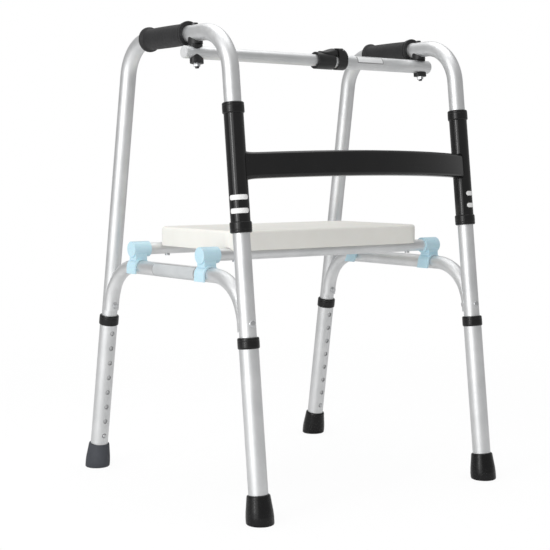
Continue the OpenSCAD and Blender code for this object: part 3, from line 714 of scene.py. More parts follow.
@dataclass
class BentTube:
    """An arch of round tube in a side's plane: leg, bend, level run, bend and leg."""

    stance: Stance
    radius: float
    height: float
    bends: dict[End, float]
    ends: dict[End, float]
    wall: float = 0.0
    offset: float = 0.0
    hug_radius: float = 0.0
    bend_steps: int = 40
    bore_depth: float = 0.03
    hug_start: float = 0.0175
    hug_span: float = 0.013
    hug_widen: float = 0.14
    hug_gap: float = 0.00003
    hug_edge: float = 0.0004
    hug_rows: int = 6

    def _half(self, end: End) -> tuple[np.ndarray, np.ndarray]:
        """The centre line from a low end along its leg and round its bend, an arc below the level run.

        Args:
            end: Leg that the half belongs to.

        Returns:
            Points (Y, Z) and their angles about the bend's centre.
        """
        lean, bend, sign = self.stance.lean(end), self.bends[end], end.value
        corner = self.stance.leg_y(end, self.height) + sign * self.offset / math.cos(lean)
        centre = corner + sign * bend * math.tan((QUARTER - lean) / 2)
        angle = QUARTER + sign * np.linspace(QUARTER - lean, 0.0, self.bend_steps)
        arc = np.stack([centre + bend * np.cos(angle), self.height - bend + bend * np.sin(angle)], -1)
        low = corner - sign * (self.height - self.ends[end]) * math.tan(lean)
        return np.vstack([[low, self.ends[end]], arc]), np.concatenate([angle[:1], angle])

    def path(self) -> tuple[np.ndarray, np.ndarray]:
        """Centre line and directions: two halves joined by the level run.

        Returns:
            Points (Y, Z) and unit directions (Y, Z) from the front end to the rear end.
        """
        front, front_angle = self._half(End.FRONT)
        rear, rear_angle = self._half(End.REAR)
        angle = np.concatenate([front_angle, rear_angle[::-1]])
        return np.vstack([front, rear[::-1]]), np.stack([np.sin(angle), -np.cos(angle)], -1)

    def grid(self, side: Side) -> np.ndarray:
        """The tube's closed grid in the row frame."""
        return self.stance.opened(self._hugged() if self.hug_radius > 0.0 else self._open_ended(), side)

    @staticmethod
    def _rings(line: np.ndarray, way: np.ndarray, radius: np.ndarray) -> np.ndarray:
        """Circles across a path: point = centre + r (across cos a + X sin a).

        Args:
            line: Centres (Y, Z).
            way: Unit directions (Y, Z).
            radius: Radius of each circle.

        Returns:
            Grid in the left side's plane.
        """
        angle = ring_angles()[None, :, None]
        across = np.stack([np.zeros(len(way)), -way[:, 1], way[:, 0]], -1)[:, None]
        centre = np.column_stack([np.zeros(len(line)), line])[:, None]
        return centre + radius[:, None, None] * (np.cos(angle) * across + np.sin(angle) * X_AXIS)

    def _open_ended(self) -> np.ndarray:
        """Rings of the outside, and of the bore near both ends.

        Returns:
            Closed grid in the left side's plane.
        """
        points, way = self.path()
        first = points[0] + way[0] * self.bore_depth
        last = points[-1] - way[-1] * self.bore_depth
        line = np.vstack([[first] * 2, [points[0]] * 2, points[1:-1], [points[-1]] * 2, [last] * 2])
        radius = np.full(len(line), self.radius)
        radius[[0, -1]] = 0.0
        radius[[1, 2, -3, -2]] -= self.wall
        return self._rings(line, np.vstack([[way[0]] * 3, way, [way[-1]] * 3]), radius)

    def _hugged(self) -> np.ndarray:
        """Rings whose ends are squashed on to the legs.

        A point at distance x aside of a leg's axis is held at least sqrt(q^2 - x^2) away from it, towards the
        other leg, with q the leg's radius. The tube widens as it flattens.

        Returns:
            Closed grid in the left side's plane.
        """
        points, way = self.path()
        share = np.linspace(0.0, 1.0, self.hug_rows + 2)[1:-1, None]
        tail = points[0] * (1 - share) + points[1] * share
        head = points[-2] * (1 - share) + points[-1] * share
        line = np.vstack([[points[0]] * 3, tail, points[1:-1], head, [points[-1]] * 3])
        extra = self.hug_rows + 2
        radius = np.full(len(line), self.radius)
        radius[[0, -1]] = 0.0
        radius[[1, -2]] -= self.hug_edge
        grid = self._rings(line, np.vstack([[way[0]] * extra, way, [way[-1]] * extra]), radius)
        centre = np.column_stack([np.zeros(len(line)), line])
        for end in End:
            leg = self.stance.leg(end)
            near = smooth((self.hug_start - (centre - leg.origin) @ leg.second) / self.hug_span)
            grid[..., 0] *= (1.0 + self.hug_widen * near)[:, None]
            away = (grid - leg.origin) @ leg.second
            least = np.sqrt(np.clip(self.hug_radius**2 - grid[..., 0] ** 2, 0.0, None)) + self.hug_gap
            grid += np.clip(least - away, 0.0, None)[..., None] * leg.second
        return grid


@dataclass
class SideFrame:
    """One side: the bent tube, the lower rail with its bolts, the grip and the rail's bare label."""

    stance: Stance
    side: Side
    finishes: Finishes
    tube_wall: float = 0.0015
    handle_bend: float = 0.062
    front_bend: float = 0.067
    tube_end: float = 0.046
    rail_radius: float = 0.011
    rail_height: float = 0.3465
    rail_bend: float = 0.0742
    rail_end: float = 0.271
    rail_offset: float = 0.0045
    bolt_along: float = 0.284
    bolt_radius: float = 0.003
    bolt_tip: float = 0.0009
    bolt_round: float = 0.0005
    head_radius: float = 0.00525
    head_rise: float = 0.0013
    head_sink: float = 0.0013
    head_dome: tuple[tuple[float, float], ...] = ((0.0, 1.0), (0.45, 0.92), (0.85, 0.5), (1.0, -0.2))
    nut_face: float = 0.0160
    nut_height: float = 0.0026
    nut_apothem: float = 0.0047
    nut_bevel: float = 0.0005
    nut_sides: int = 6
    bevel: float = 0.0004
    grip_length: float = 0.113
    grip_radius: float = 0.0164
    grip_swell: float = 0.0004
    grip_round: float = 0.0012
    grip_gap: float = 0.0005
    grip_rings: tuple[float, ...] = (0.0036, 0.0042, 0.0056, 0.0062, 0.0084, 0.0092)
    waist_start: float = 0.0105
    waist_end: float = 0.004
    waist_rows: int = 40
    shoulder: float = 0.0022
    flange_radius: float = 0.0195
    second_ring: float = 0.0186
    flange_width: float = 0.005
    label_start: float = -0.077
    label_length: float = 0.115
    label_inset: float = 0.0014
    label_arcs: tuple[float, float] = (math.radians(64), math.radians(57))

    def build(self) -> None:
        """Make the side's pieces."""
        self._tube()
        self._rail()
        self._rail_bolts()
        self._grip()
        if self.side is Side.LEFT:
            self._rail_label()

    def _piece(self, part: str, slot: str, finish: str | None = None) -> Piece:
        """An empty piece on the side's body."""
        return self.finishes.piece(f"{self.side.word}_{part}_skin", f"{self.side.word}_side", slot, finish)

    def _opened(self, grid: np.ndarray) -> np.ndarray:
        """A grid of the left side's plane, opened to this side."""
        return self.stance.opened(grid, self.side)

    def _tube(self) -> None:
        """Bent tube that is front leg, handle and rear leg in one."""
        stance = self.stance
        tube = BentTube(
            stance, stance.tube_radius, stance.handle_height,
            bends={End.FRONT: self.front_bend, End.REAR: self.handle_bend},
            ends={end: self.tube_end * math.cos(stance.lean(end)) for end in End}, wall=self.tube_wall,
        )
        piece = self._piece("tube", "aluminium_tube", "drawn_tube")
        piece.add(tube.grid(self.side)).make(Crease.BENT, f"{self.side.word}_side_tube")

    def _rail(self) -> None:
        """Lower rail, bent down along the legs at both ends."""
        rail = BentTube(
            self.stance, self.rail_radius, self.rail_height, bends=dict.fromkeys(End, self.rail_bend),
            ends=dict.fromkeys(End, self.rail_end), offset=self.rail_offset,
            hug_radius=self.stance.tube_radius + SEAT_FIT,
        )
        piece = self._piece("rail", "aluminium_tube", "drawn_tube")
        piece.add(rail.grid(self.side)).make(Crease.BENT, f"{self.side.word}_rail")

    def _rail_bolts(self) -> None:
        """Two bolts through legs and rail: a low domed head in front and a thin six-sided nut behind.

        A ring of the nut has the radius apothem / cos a, where a is the angle from the middle of its flat.
        """
        radius, wide, face = self.bolt_radius, self.nut_apothem, -self.stance.tube_radius
        thread = radius - RUNNING_FIT
        sunk = face + self.head_sink
        nut_end = self.nut_face + self.nut_height
        seam = nut_end - self.bevel / 2
        tip = nut_end + self.bolt_tip
        dome = [(self.head_radius * share, face - self.head_rise * rise) for share, rise in self.head_dome]
        shank = soft_corners([
            *dome, (self.head_radius, sunk), (radius, sunk + RUNNING_FIT), (radius, tip - self.bevel),
            (radius - self.bevel, tip), (0.0, tip),
        ], self.bolt_round, steps=4)
        nut = soft_corners([
            (thread, seam), (thread, self.nut_face), (wide, self.nut_face), (wide, nut_end - self.bevel),
            (wide - self.nut_bevel, nut_end), (thread, nut_end), (thread, seam),
        ], RUNNING_FIT, steps=3)
        sector = TURN / self.nut_sides
        flat = 1.0 / np.cos(np.mod(ring_angles(), sector) - sector / 2)
        widen = np.where(nut[:, :1] > radius, flat[None], 1.0)[..., None]
        piece = self._piece("rail_bolts", "bright_steel")
        for end in End:
            leg = self.stance.leg(end)
            bolt = Line(leg.at(self.bolt_along), leg.along, leg.first, leg.second)
            spine = bolt.at(nut[:, 1])[:, None]
            piece.add(self._opened(bolt.turned(shank)))
            piece.add(self._opened(spine + (bolt.turned(nut) - spine) * widen))
        piece.make(Crease.TURNED, f"{self.side.word}_rail_bolts")

    def _grip(self) -> None:
        """Soft grip, turned about the handle: a double ring in front, a fine waist and a flange behind."""
        stance = self.stance
        run = self.handle_bend * math.tan((QUARTER - stance.rear_lean) / 2)
        rear = stance.leg_y(End.REAR, stance.handle_height) - run - self.grip_gap
        thin, wide, ring, length = self.grip_radius, self.flange_radius, self.second_ring, self.grip_length
        groove = thin + RUNNING_FIT
        back = length - self.flange_width
        waist = np.linspace(self.waist_start, back - self.waist_end, self.waist_rows)
        swell = thin + self.grip_swell * np.sin(np.linspace(0.0, math.pi, self.waist_rows))
        bore = stance.tube_radius + SEAT_FIT
        profile = soft_corners([
            (bore, length / 2), (bore, 0.0), (wide, 0.0),
            *zip((wide, groove, groove, ring, ring, thin), self.grip_rings), *zip(swell, waist),
            (thin, back - self.shoulder), (wide, back), (wide, length), (bore, length), (bore, length / 2),
        ], self.grip_round)
        handle = Line(np.array([0.0, rear - length, stance.handle_height]), X_AXIS, Z_AXIS, Y_AXIS)
        piece = self._piece("grip", "grip_foam")
        piece.add(self._opened(handle.turned(profile))).make(Crease.TURNED, f"{self.side.word}_grip")

    def _rail_label(self) -> None:
        """Bare label on the outer face of the rail."""
        rail = Line(self.rail_height * Z_AXIS, -X_AXIS, Z_AXIS, Y_AXIS)
        Label(
            self.finishes, "rail_label", f"{self.side.word}_side", "rail_film", rail, self.rail_radius,
            self.label_start, self.label_length, self.label_inset, *self.label_arcs,
        ).build(self._opened)


@dataclass(frozen=True)
class Collar:
    """A moulded collar that caps a tube's end, with a fine groove under its lip."""

    wall: float = 0.0017
    height: float = 0.0165
    lip: float = 0.003
    edge: float = 0.0013
    groove_place: float = 0.0012
    groove: float = 0.0004
    rim: float = 0.0022
    rounding: float = 0.0006
    seam_share: float = 0.6

    def profile(self, radius: float, bore: float, end: float, way: float) -> np.ndarray:
        """Closed profile: seat, lip, rounded end, groove, side and rim in turn.

        Args:
            radius: Radius of the tube that it caps.
            bore: Radius of the tube that runs through its lip.
            end: Place of its outer end along the tube.
            way: One where it goes up from there, minus one where it goes down.

        Returns:
            Rows of radius and place along the tube.
        """
        outer, seat, high = radius + self.wall, radius + SEAT_FIT, self.height
        groove = self.lip + self.groove_place
        seam = (seat, self.seam_share * high)
        profile = soft_corners([
            seam, (seat, self.lip), (bore, self.lip), (bore, 0.0), (outer - self.edge, 0.0),
            (outer - self.groove / 2, self.edge), (outer, groove),
            (outer - self.groove, groove + self.groove), (outer, groove + 2 * self.groove),
            (outer, high - self.rim),
            (outer - self.groove, high - 2 * self.groove), (seat, high), seam,
        ], self.rounding, steps=4)
        profile[:, 1] = end + way * profile[:, 1]
        return profile


@dataclass
class FrontFrame:
    """The bowed cross bar with its two sleeves, their collars and the plain bands on them."""

    stance: Stance
    finishes: Finishes
    collar: Collar = Collar()
    sleeve_radius: float = 0.0145
    sleeve_low: float = 0.4145
    sleeve_high: float = 0.603
    sleeve_round: float = 0.0006
    cross_along: float = 0.5106
    cross_tall: float = 0.038
    cross_thick: float = 0.018
    cross_round: float = 0.006
    cross_bow: float = 0.048
    run_share: float = 0.88
    run_rows: int = 60
    end_share: float = 0.9
    end_rows: int = 12
    flare: float = 0.09
    flare_reach: float = 0.005
    band_turn: float = math.radians(53)
    band_arc: float = math.radians(62)
    band_thick: float = 0.0002
    bands: tuple[tuple[float, float], ...] = ((0.4423, 0.4496), (0.4617, 0.4690))

    def build(self) -> None:
        """Make the front frame's pieces."""
        self._cross_bar()
        for side in Side:
            self._sleeve(side)
            self._bands(side)

    def _piece(self, name: str, slot: str | None, finish: str | None = None) -> Piece:
        """An empty piece on the front frame."""
        return self.finishes.piece(name, "front_frame", slot, finish)

    def _sleeve(self, side: Side) -> None:
        """Enamelled sleeve that turns on the front leg, and the moulded collar at each of its ends.

        Args:
            side: Side of the frame.
        """
        leg = self.stance.front_leg(side)
        bore = self.stance.tube_radius + RUNNING_FIT
        low, high = self.sleeve_low + self.collar.lip, self.sleeve_high - self.collar.lip
        sleeve = tube_profile(bore, self.sleeve_radius, low, high, self.sleeve_round)
        name = f"{side.word}_sleeve"
        self._piece(f"{name}_skin", "black_enamel").add(leg.turned(sleeve)).make(Crease.TURNED, name)
        for word, end, way in (("top", self.sleeve_high, -1.0), ("bottom", self.sleeve_low, 1.0)):
            grid = leg.turned(self.collar.profile(self.sleeve_radius, bore, end, way))
            piece = self._piece(f"{name}_{word}_collar_skin", "collar_plastic")
            piece.add(grid).make(Crease.TURNED, f"{name}_{word}_collar")

    def _bands(self, side: Side) -> None:
        """Two plain pale bands around the front and outer face of a sleeve, each a plate with round ends.

        Args:
            side: Side of the frame.
        """
        leg = self.stance.front_leg(side)
        facing = leg.around(np.array(-self.band_turn))
        aside = leg.around(np.array(QUARTER - self.band_turn))
        line = Line(leg.origin, facing, aside, leg.along)
        piece = self._piece(f"{side.word}_sleeve_bands", None, "band_tape")
        for low, high in self.bands:
            piece.add(line.plate(low, high - low, self.sleeve_radius, self.band_thick, self.band_arc, True))
        piece.make(Crease.TRIM)

    def _cross_bar(self) -> None:
        """Bowed bar: a rounded section carried along an arc, cut where each line meets the sleeves.

        A line at distance q from the arc's centre meets the sleeve of radius r, whose axis is at distance R,
        at an angle of acos((q^2 + R^2 - r^2) / 2 q R) before the sleeve's own angle.
        """
        track, bow = self.stance.track, self.cross_bow
        arc = track * track / (8 * bow) + bow / 2
        half = (self.cross_thick / 2, self.cross_tall / 2)
        section = rounded_rectangle(half, self.cross_round, steps=9)[0].reshape(-1, 2)
        reach = arc + section[:, 0]
        touch = self.sleeve_radius + SEAT_FIT
        stop = math.asin(track / 2 / arc) - np.arccos((reach**2 + arc**2 - touch**2) / (2 * reach * arc))
        end = np.linspace(self.end_share, 1.0, self.end_rows)
        run = np.linspace(-self.run_share, self.run_share, self.run_rows)
        share = np.concatenate([-end[::-1], run, end])[:, None]
        angle = share * stop
        flare = 1.0 + self.flare * np.exp(-(1 - np.abs(share)) * stop * arc / self.flare_reach)
        aside = (reach * np.sin(angle))[..., None]
        behind = (arc - bow - reach * np.cos(angle))[..., None]
        leg = self.stance.leg(End.FRONT)
        grid = leg.at(self.cross_along + section[:, 1] * flare) + aside * leg.first + behind * leg.second
        self._piece("cross_bar_skin", "black_enamel").add(capped(grid)).make(Crease.SOFT, "crossbar")


@dataclass
class LowerLeg:
    """A lower leg's collar, its rubber foot and painted shade rings around its holes. The tube is the frame's
    own node.
    """

    stance: Stance
    side: Side
    end: End
    finishes: Finishes
    collar: Collar = Collar()
    top: float = 0.265
    tube_end: float = 0.014
    foot_side: tuple[tuple[float, float], ...] = (
        (0.0191, 0.0), (0.0205, 0.0016), (0.0205, 0.0110), (0.0199, 0.0189), (0.0184, 0.03024),
        (0.0174, 0.0388), (0.0169, 0.0410), (0.01525, 0.042),
    )
    foot_round: float = 0.0009
    tilt_height: float = 0.011
    hole_radius: float = 0.0035
    hole_first: float = 0.058
    hole_pitch: float = 0.0254
    hole_count: int = 8
    rim_section: tuple[tuple[float, float], ...] = (
        (-0.00002, -0.0013), (-0.0002, 0.00006), (0.0004, 0.00006), (0.0004, 0.00001), (-0.00002, -0.0013),
    )
    rim_steps: int = 40

    def build(self) -> None:
        """Make the collar, the foot, painted shade rings around the holes and a darker painted shade ring
        around the button.
        """
        self._collar()
        self._foot()
        places = self.hole_first + self.hole_pitch * np.arange(self.hole_count)
        # Painted shade: dark rings stand in for the shade inside the holes, and a darker ring for the shade
        # around the button.
        self._rims("hole_shade_rims", "hole_shade", places[1:])
        self._rims("button_shade_rim", "button_shade", places[:1])

    def _name(self, part: str) -> str:
        """Name of one of the leg's nodes or pieces."""
        return f"{self.end.word}_{self.side.word}_{part}"

    def _piece(self, part: str, slot: str, finish: str | None = None) -> Piece:
        """An empty piece on the lower leg's body."""
        return self.finishes.piece(self._name(part), self._name("lower_leg"), slot, finish)

    def _collar(self) -> None:
        """Moulded collar at the top of the lower leg, turned about the leg."""
        stance = self.stance
        profile = self.collar.profile(stance.leg_radius, stance.tube_radius + RUNNING_FIT, self.top, -1.0)
        grid = stance.opened(stance.leg(self.end).turned(profile), self.side)
        self._piece("collar_skin", "collar_plastic").add(grid).make(Crease.TURNED, self._name("collar"))

    def _foot(self) -> None:
        """Rubber foot: rings that lie level at the sole and square to the leg above it.

        Each ring's plane turns smoothly from level to square as the ring rises, so the sole is flat on the
        floor while the cup follows the leaning leg.
        """
        leg = self.stance.leg(self.end)
        cup = self.stance.leg_radius + SEAT_FIT
        inside = [(cup, self.foot_side[-1][1]), (cup, self.tube_end), (0.0, self.tube_end)]
        profile = soft_corners([(0.0, 0.0), *self.foot_side, *inside], self.foot_round, steps=4)
        radius, rise = profile[:, 0, None, None], profile[:, 1]
        tilt = smooth(rise / self.tilt_height)[:, None]
        across = leg.second * tilt + self.end.value * Y_AXIS * (1 - tilt)
        across /= np.linalg.norm(across, axis=1, keepdims=True)
        level = leg.at(np.maximum(rise, 0.0) / math.cos(self.stance.lean(self.end)))
        centre = level * (1 - tilt) + leg.at(rise) * tilt
        angle = ring_angles()[:, None]
        ring = np.cos(angle) * leg.first + np.sin(angle) * across[:, None]
        grid = self.stance.opened(centre[:, None] + radius * ring, self.side)
        grid[..., 2] = np.maximum(grid[..., 2], 0.0)
        worn = self.side is Side.LEFT and self.end is End.REAR
        piece = self._piece("foot_skin", "foot_rubber", "worn_rubber" if worn else None)
        piece.add(grid).make(Crease.MOULDED, self._name("foot"))

    def _rims(self, part: str, finish: str, places: np.ndarray) -> None:
        """Painted shade rings around holes, which follow the tube's curve and leave room for the button.

        A rim point at radius r and angle a stands at sqrt(q^2 - (r cos a)^2) from the leg's axis, with q the
        leg's radius, and is then lifted a little.

        Args:
            part: Name of the piece after the leg's own name.
            finish: Finish of the rings, a dark grey for painted shade.
            places: Distances of the holes along the leg.
        """
        leg = self.stance.leg(self.end)
        angle = ring_angles(self.rim_steps)
        cosine, sine = np.cos(angle)[:, None], np.sin(angle)[:, None]
        radius, lift = np.array(self.rim_section).T[:, :, None, None]
        radius = radius + self.hole_radius
        away = np.sqrt(self.stance.leg_radius**2 - (radius * cosine) ** 2) + lift
        ring = radius * (cosine * leg.first + sine * leg.along) + away * leg.second
        piece = self._piece(part, "dark_steel", finish)
        for place in places:
            piece.add(self.stance.opened(leg.at(place) + ring, self.side))
        piece.make(Crease.SOFT)


@dataclass
class Seat:
    """The moulded seat board: a shell with rounded edges whose skirt clears the two cross tubes."""

    finishes: Finishes
    width: float = 0.384
    depth: float = 0.207
    tall: float = 0.031
    corner: float = 0.018
    edge: float = 0.005
    wall: float = 0.0035
    dish: float = 0.0012
    lip: float = 0.0008
    inner_round: float = 0.003
    inner_rise: float = 0.002
    crown_rings: int = 14
    edge_rings: int = 10
    under_shares: tuple[float, ...] = (0.7, 0.35, 0.0)
    low: float = 0.380
    middle: float = -0.005
    tube_radius: float = 0.0095
    tube_height: float = 0.3755
    tube_places: tuple[float, float] = (-0.096, 0.095)
    clearance: float = 0.0006

    def build(self) -> None:
        """Make the board: rings over the dished top, round the edge, round the rim and back under the top."""
        outline, outward = self._outline()
        top = self.low + self.tall
        ceiling = top - self.wall - self.edge / 2
        centre = np.array([0.0, self.middle])
        flat = outline - outward * self.edge
        inner = outline - outward * self.wall
        under = inner - outward * self.inner_round
        rim, lip = self._rim(outline), self.lip
        crown = np.linspace(0.0, 1.0, self.crown_rings)[:-1]
        turn = np.linspace(QUARTER, 0.0, self.edge_rings)
        edge = self.edge * (1 - np.stack([np.cos(turn), np.sin(turn)], -1))
        rings = [(centre + (flat - centre) * share, top - self.dish * share**2) for share in crown]
        rings += [(outline - outward * inset, top - drop) for inset, drop in edge]
        rings += [
            (outline, rim + lip), (outline - outward * lip, rim),
            (outline - outward * (self.wall - lip), rim), (inner, rim + lip),
            (inner, np.maximum(rim + 2 * lip, ceiling - self.inner_rise)), (under, ceiling),
        ]
        rings += [(centre + (under - centre) * share, ceiling) for share in self.under_shares]
        grid = [np.column_stack([plan, np.broadcast_to(height, len(plan))]) for plan, height in rings]
        piece = self.finishes.piece("seat_board_skin", "seat", "seat_plastic")
        piece.add(np.stack(grid)).make(Crease.SOFT, "seat_board")

    def _outline(self, per_corner: int = 14, per_edge: int = 60) -> tuple[np.ndarray, np.ndarray]:
        """Rounded rectangle of the board, as a closed ring.

        Args:
            per_corner: Points of each corner.
            per_edge: Points of each straight edge.

        Returns:
            Points (X, Y) and their outward directions.
        """
        arc, out = rounded_rectangle((self.width / 2, self.depth / 2), self.corner, per_corner)
        share = np.linspace(0.0, 1.0, per_edge + 2)[None, 1:-1, None]
        edge = arc[:, -1:] * (1 - share) + np.roll(arc, -1, axis=0)[:, :1] * share
        edge_out = np.broadcast_to(out[:, -1:], edge.shape)
        ring = np.concatenate([arc, edge], axis=1).reshape(-1, 2) + np.array([0.0, self.middle])
        return ring, np.concatenate([out, edge_out], axis=1).reshape(-1, 2)

    def _rim(self, outline: np.ndarray) -> np.ndarray:
        """Height of the skirt's lower rim: the board's own, raised to an arch over each tube.

        An arch of radius q about the tube's axis at height c stands at c + sqrt(q^2 - (y - y0)^2).

        Args:
            outline: Points of the board's outline.

        Returns:
            Height of the rim at each point.
        """
        reach = self.tube_radius + self.clearance
        rim = np.full(len(outline), self.low)
        for place in self.tube_places:
            span = np.clip(reach**2 - (outline[:, 1] - place) ** 2, 0.0, None)
            rim = np.maximum(rim, np.where(span > 0, self.tube_height + np.sqrt(span), self.low))
        return rim


@dataclass
class Bar:
    """The telescopic top bar's tubes and end caps, and the bar's bare label."""

    stance: Stance
    finishes: Finishes
    left_end: float = 0.2488
    right_end: float = 0.2448
    inner_bore: float = 0.0081
    inner_end: float = 0.1215
    outer_bore: float = 0.0096
    outer_start: float = 0.0165
    tube_round: float = 0.0005
    cap_dome: float = 0.0024
    cap_round: float = 0.8
    cap_edge: float = 0.0003
    cap_step: float = 0.00002
    cap_rings: int = 12
    plug_length: float = 0.007
    label_start: float = 0.080
    label_length: float = 0.056
    label_inset: float = 0.0016
    label_turn: float = math.radians(28)
    label_arcs: tuple[float, float] = (math.radians(33), math.radians(25))

    def build(self) -> None:
        """Make the bar's skins and its label."""
        inner, outer = self.stance.inner_bar_radius, self.stance.outer_bar_radius
        self._tube("bar_inner", -self.left_end, self.inner_end, inner, self.inner_bore)
        self._tube("bar_outer", self.outer_start, self.right_end, outer, self.outer_bore)
        self._cap(Side.LEFT, "bar_inner", self.left_end, inner, self.inner_bore)
        self._cap(Side.RIGHT, "bar_outer", self.right_end, outer, self.outer_bore)
        facing = math.sin(self.label_turn) * Z_AXIS - math.cos(self.label_turn) * Y_AXIS
        aside = math.sin(self.label_turn) * Y_AXIS + math.cos(self.label_turn) * Z_AXIS
        Label(
            self.finishes, "bar_label", "bar_outer", "blank_label",
            Line(self.stance.bar().origin, facing, aside, X_AXIS), outer, self.label_start, self.label_length,
            self.label_inset, *self.label_arcs,
        ).build()

    def _tube(self, body: str, start: float, stop: float, radius: float, bore: float) -> None:
        """A straight tube with softened rims and its whole bore, turned about the bar's axis.

        Args:
            body: Body that carries the tube.
            start: Left end of the tube.
            stop: Right end of the tube.
            radius: Outer radius.
            bore: Inner radius.
        """
        grid = self.stance.bar().turned(tube_profile(bore, radius, start, stop, self.tube_round))
        piece = self.finishes.piece(f"{body}_skin", body, "aluminium_tube", "drawn_tube")
        piece.add(grid).make(Crease.TURNED, f"{body}_tube")

    def _cap(self, side: Side, body: str, end: float, radius: float, bore: float) -> None:
        """Domed cap with a short plug in the tube's end: a profile turned about the bar's axis.

        Args:
            side: End of the bar.
            body: Body that carries the tube.
            end: Distance of the tube's end from the middle.
            radius: Outer radius of the tube.
            bore: Inner radius of the tube.
        """
        turn = np.linspace(0.0, QUARTER, self.cap_rings)[:-1]
        rim = radius - self.cap_edge
        dome = np.stack([rim * np.sin(turn), self.cap_dome * np.cos(turn) ** self.cap_round], -1)
        plug = [
            (rim, 0.0), (bore - RUNNING_FIT, self.cap_step), (bore - self.cap_edge, -self.plug_length),
            (0.0, -self.plug_length),
        ]
        line = Line(self.stance.bar().at(side.value * end), Y_AXIS, Z_AXIS, side.value * X_AXIS)
        piece = self.finishes.piece(f"bar_{side.word}_cap_skin", body, "cap_plastic")
        piece.add(line.turned(np.vstack([dome, plug]))).make(Crease.CAP, f"bar_{side.word}_cap")


@dataclass
class BracketPads:
    """The washers above and below the top bar at its two brackets, shaped to the bar."""

    stance: Stance
    finishes: Finishes
    hole: float = 0.0031
    edge: float = 0.0005
    top: float = 0.0125
    under: float = 0.0165
    left_plan: tuple[tuple[float, float], ...] = ((0.011, -0.0022), (-0.0064, -0.0088))
    left_power: float = 1.18
    right_plan: tuple[tuple[float, float], ...] = ((0.0113, 0.0), (0.0, -0.0068))
    right_power: float = 0.6
    shares: tuple[float, ...] = (0.0, 0.0, 0.3, 0.6, 0.85, 0.97, 1.0, 1.0, 0.96, 0.0, 0.0)

    def build(self) -> None:
        """Make the four washers: pointed ones on the inner tube and oblong ones on the outer tube."""
        stance = self.stance
        self._pair(Side.LEFT, "bar_inner", stance.inner_bar_radius, self.left_plan, self.left_power)
        self._pair(Side.RIGHT, "bar_outer", stance.outer_bar_radius, self.right_plan, self.right_power)

    def _pair(
        self, side: Side, body: str, radius: float, axes: tuple[tuple[float, float], ...], power: float
    ) -> None:
        """The washers above and below the bar at one bracket, whose plan is a superellipse.

        Args:
            side: Side of the frame.
            body: Body that carries the bar's tube.
            radius: Radius of the tube.
            axes: The two half axes of the plan, each along the bar and to the rear.
            power: Roundness of the plan: one is an ellipse, more is pointed, less is square.
        """
        angle = ring_angles()
        wave = np.stack([np.cos(angle), np.sin(angle)], -1)
        plan = (np.sign(wave) * np.abs(wave) ** power) @ np.array(axes)
        for word, way, face in (("upper", 1.0, self.top), ("lower", -1.0, self.under)):
            piece = self.finishes.piece(f"{side.word}_{word}_pad", body, "saddle_plastic")
            piece.add(self._grid(side, plan, radius + SEAT_FIT, way, face))
            piece.make(Crease.PAD, f"{side.word}_bar_{word}_saddle")

    def _grid(self, side: Side, plan: np.ndarray, radius: float, way: float, face: float) -> np.ndarray:
        """Rings of a washer: up its hole, out over the bar's curve, up its side and back over its flat face.

        A point at v across the bar lies on the bar at height sqrt(radius^2 - v^2).

        Args:
            side: Side of the frame.
            plan: Outline of the washer, along the bar and to the rear.
            radius: Radius of the bar with its fit.
            way: One above the bar, minus one below it.
            face: Height of the flat face from the bar's axis.

        Returns:
            Closed grid of the washer.
        """
        bore = plan / np.linalg.norm(plan, axis=1, keepdims=True) * self.hole
        share = np.array(self.shares)[:, None, None]
        flat = bore * (1.0 - share) + plan * share
        height = np.sqrt(np.clip(radius**2 - flat[..., 1:] ** 2, 0.0, None))
        # Rows 1 to 6 lie on the bar, row 7 is the top of the side and rows 8 and 9 are the flat face.
        height[[0, -1]] = (face + radius) / 2
        height[6] += self.edge
        height[7] = face - self.edge
        height[[8, 9]] = face
        leg = self.stance.leg(End.FRONT)
        middle = np.array(self.stance.bar_place) * (side.value, 1.0, 1.0)
        return middle + flat[..., :1] * leg.first + flat[..., 1:] * leg.second + way * height * leg.along


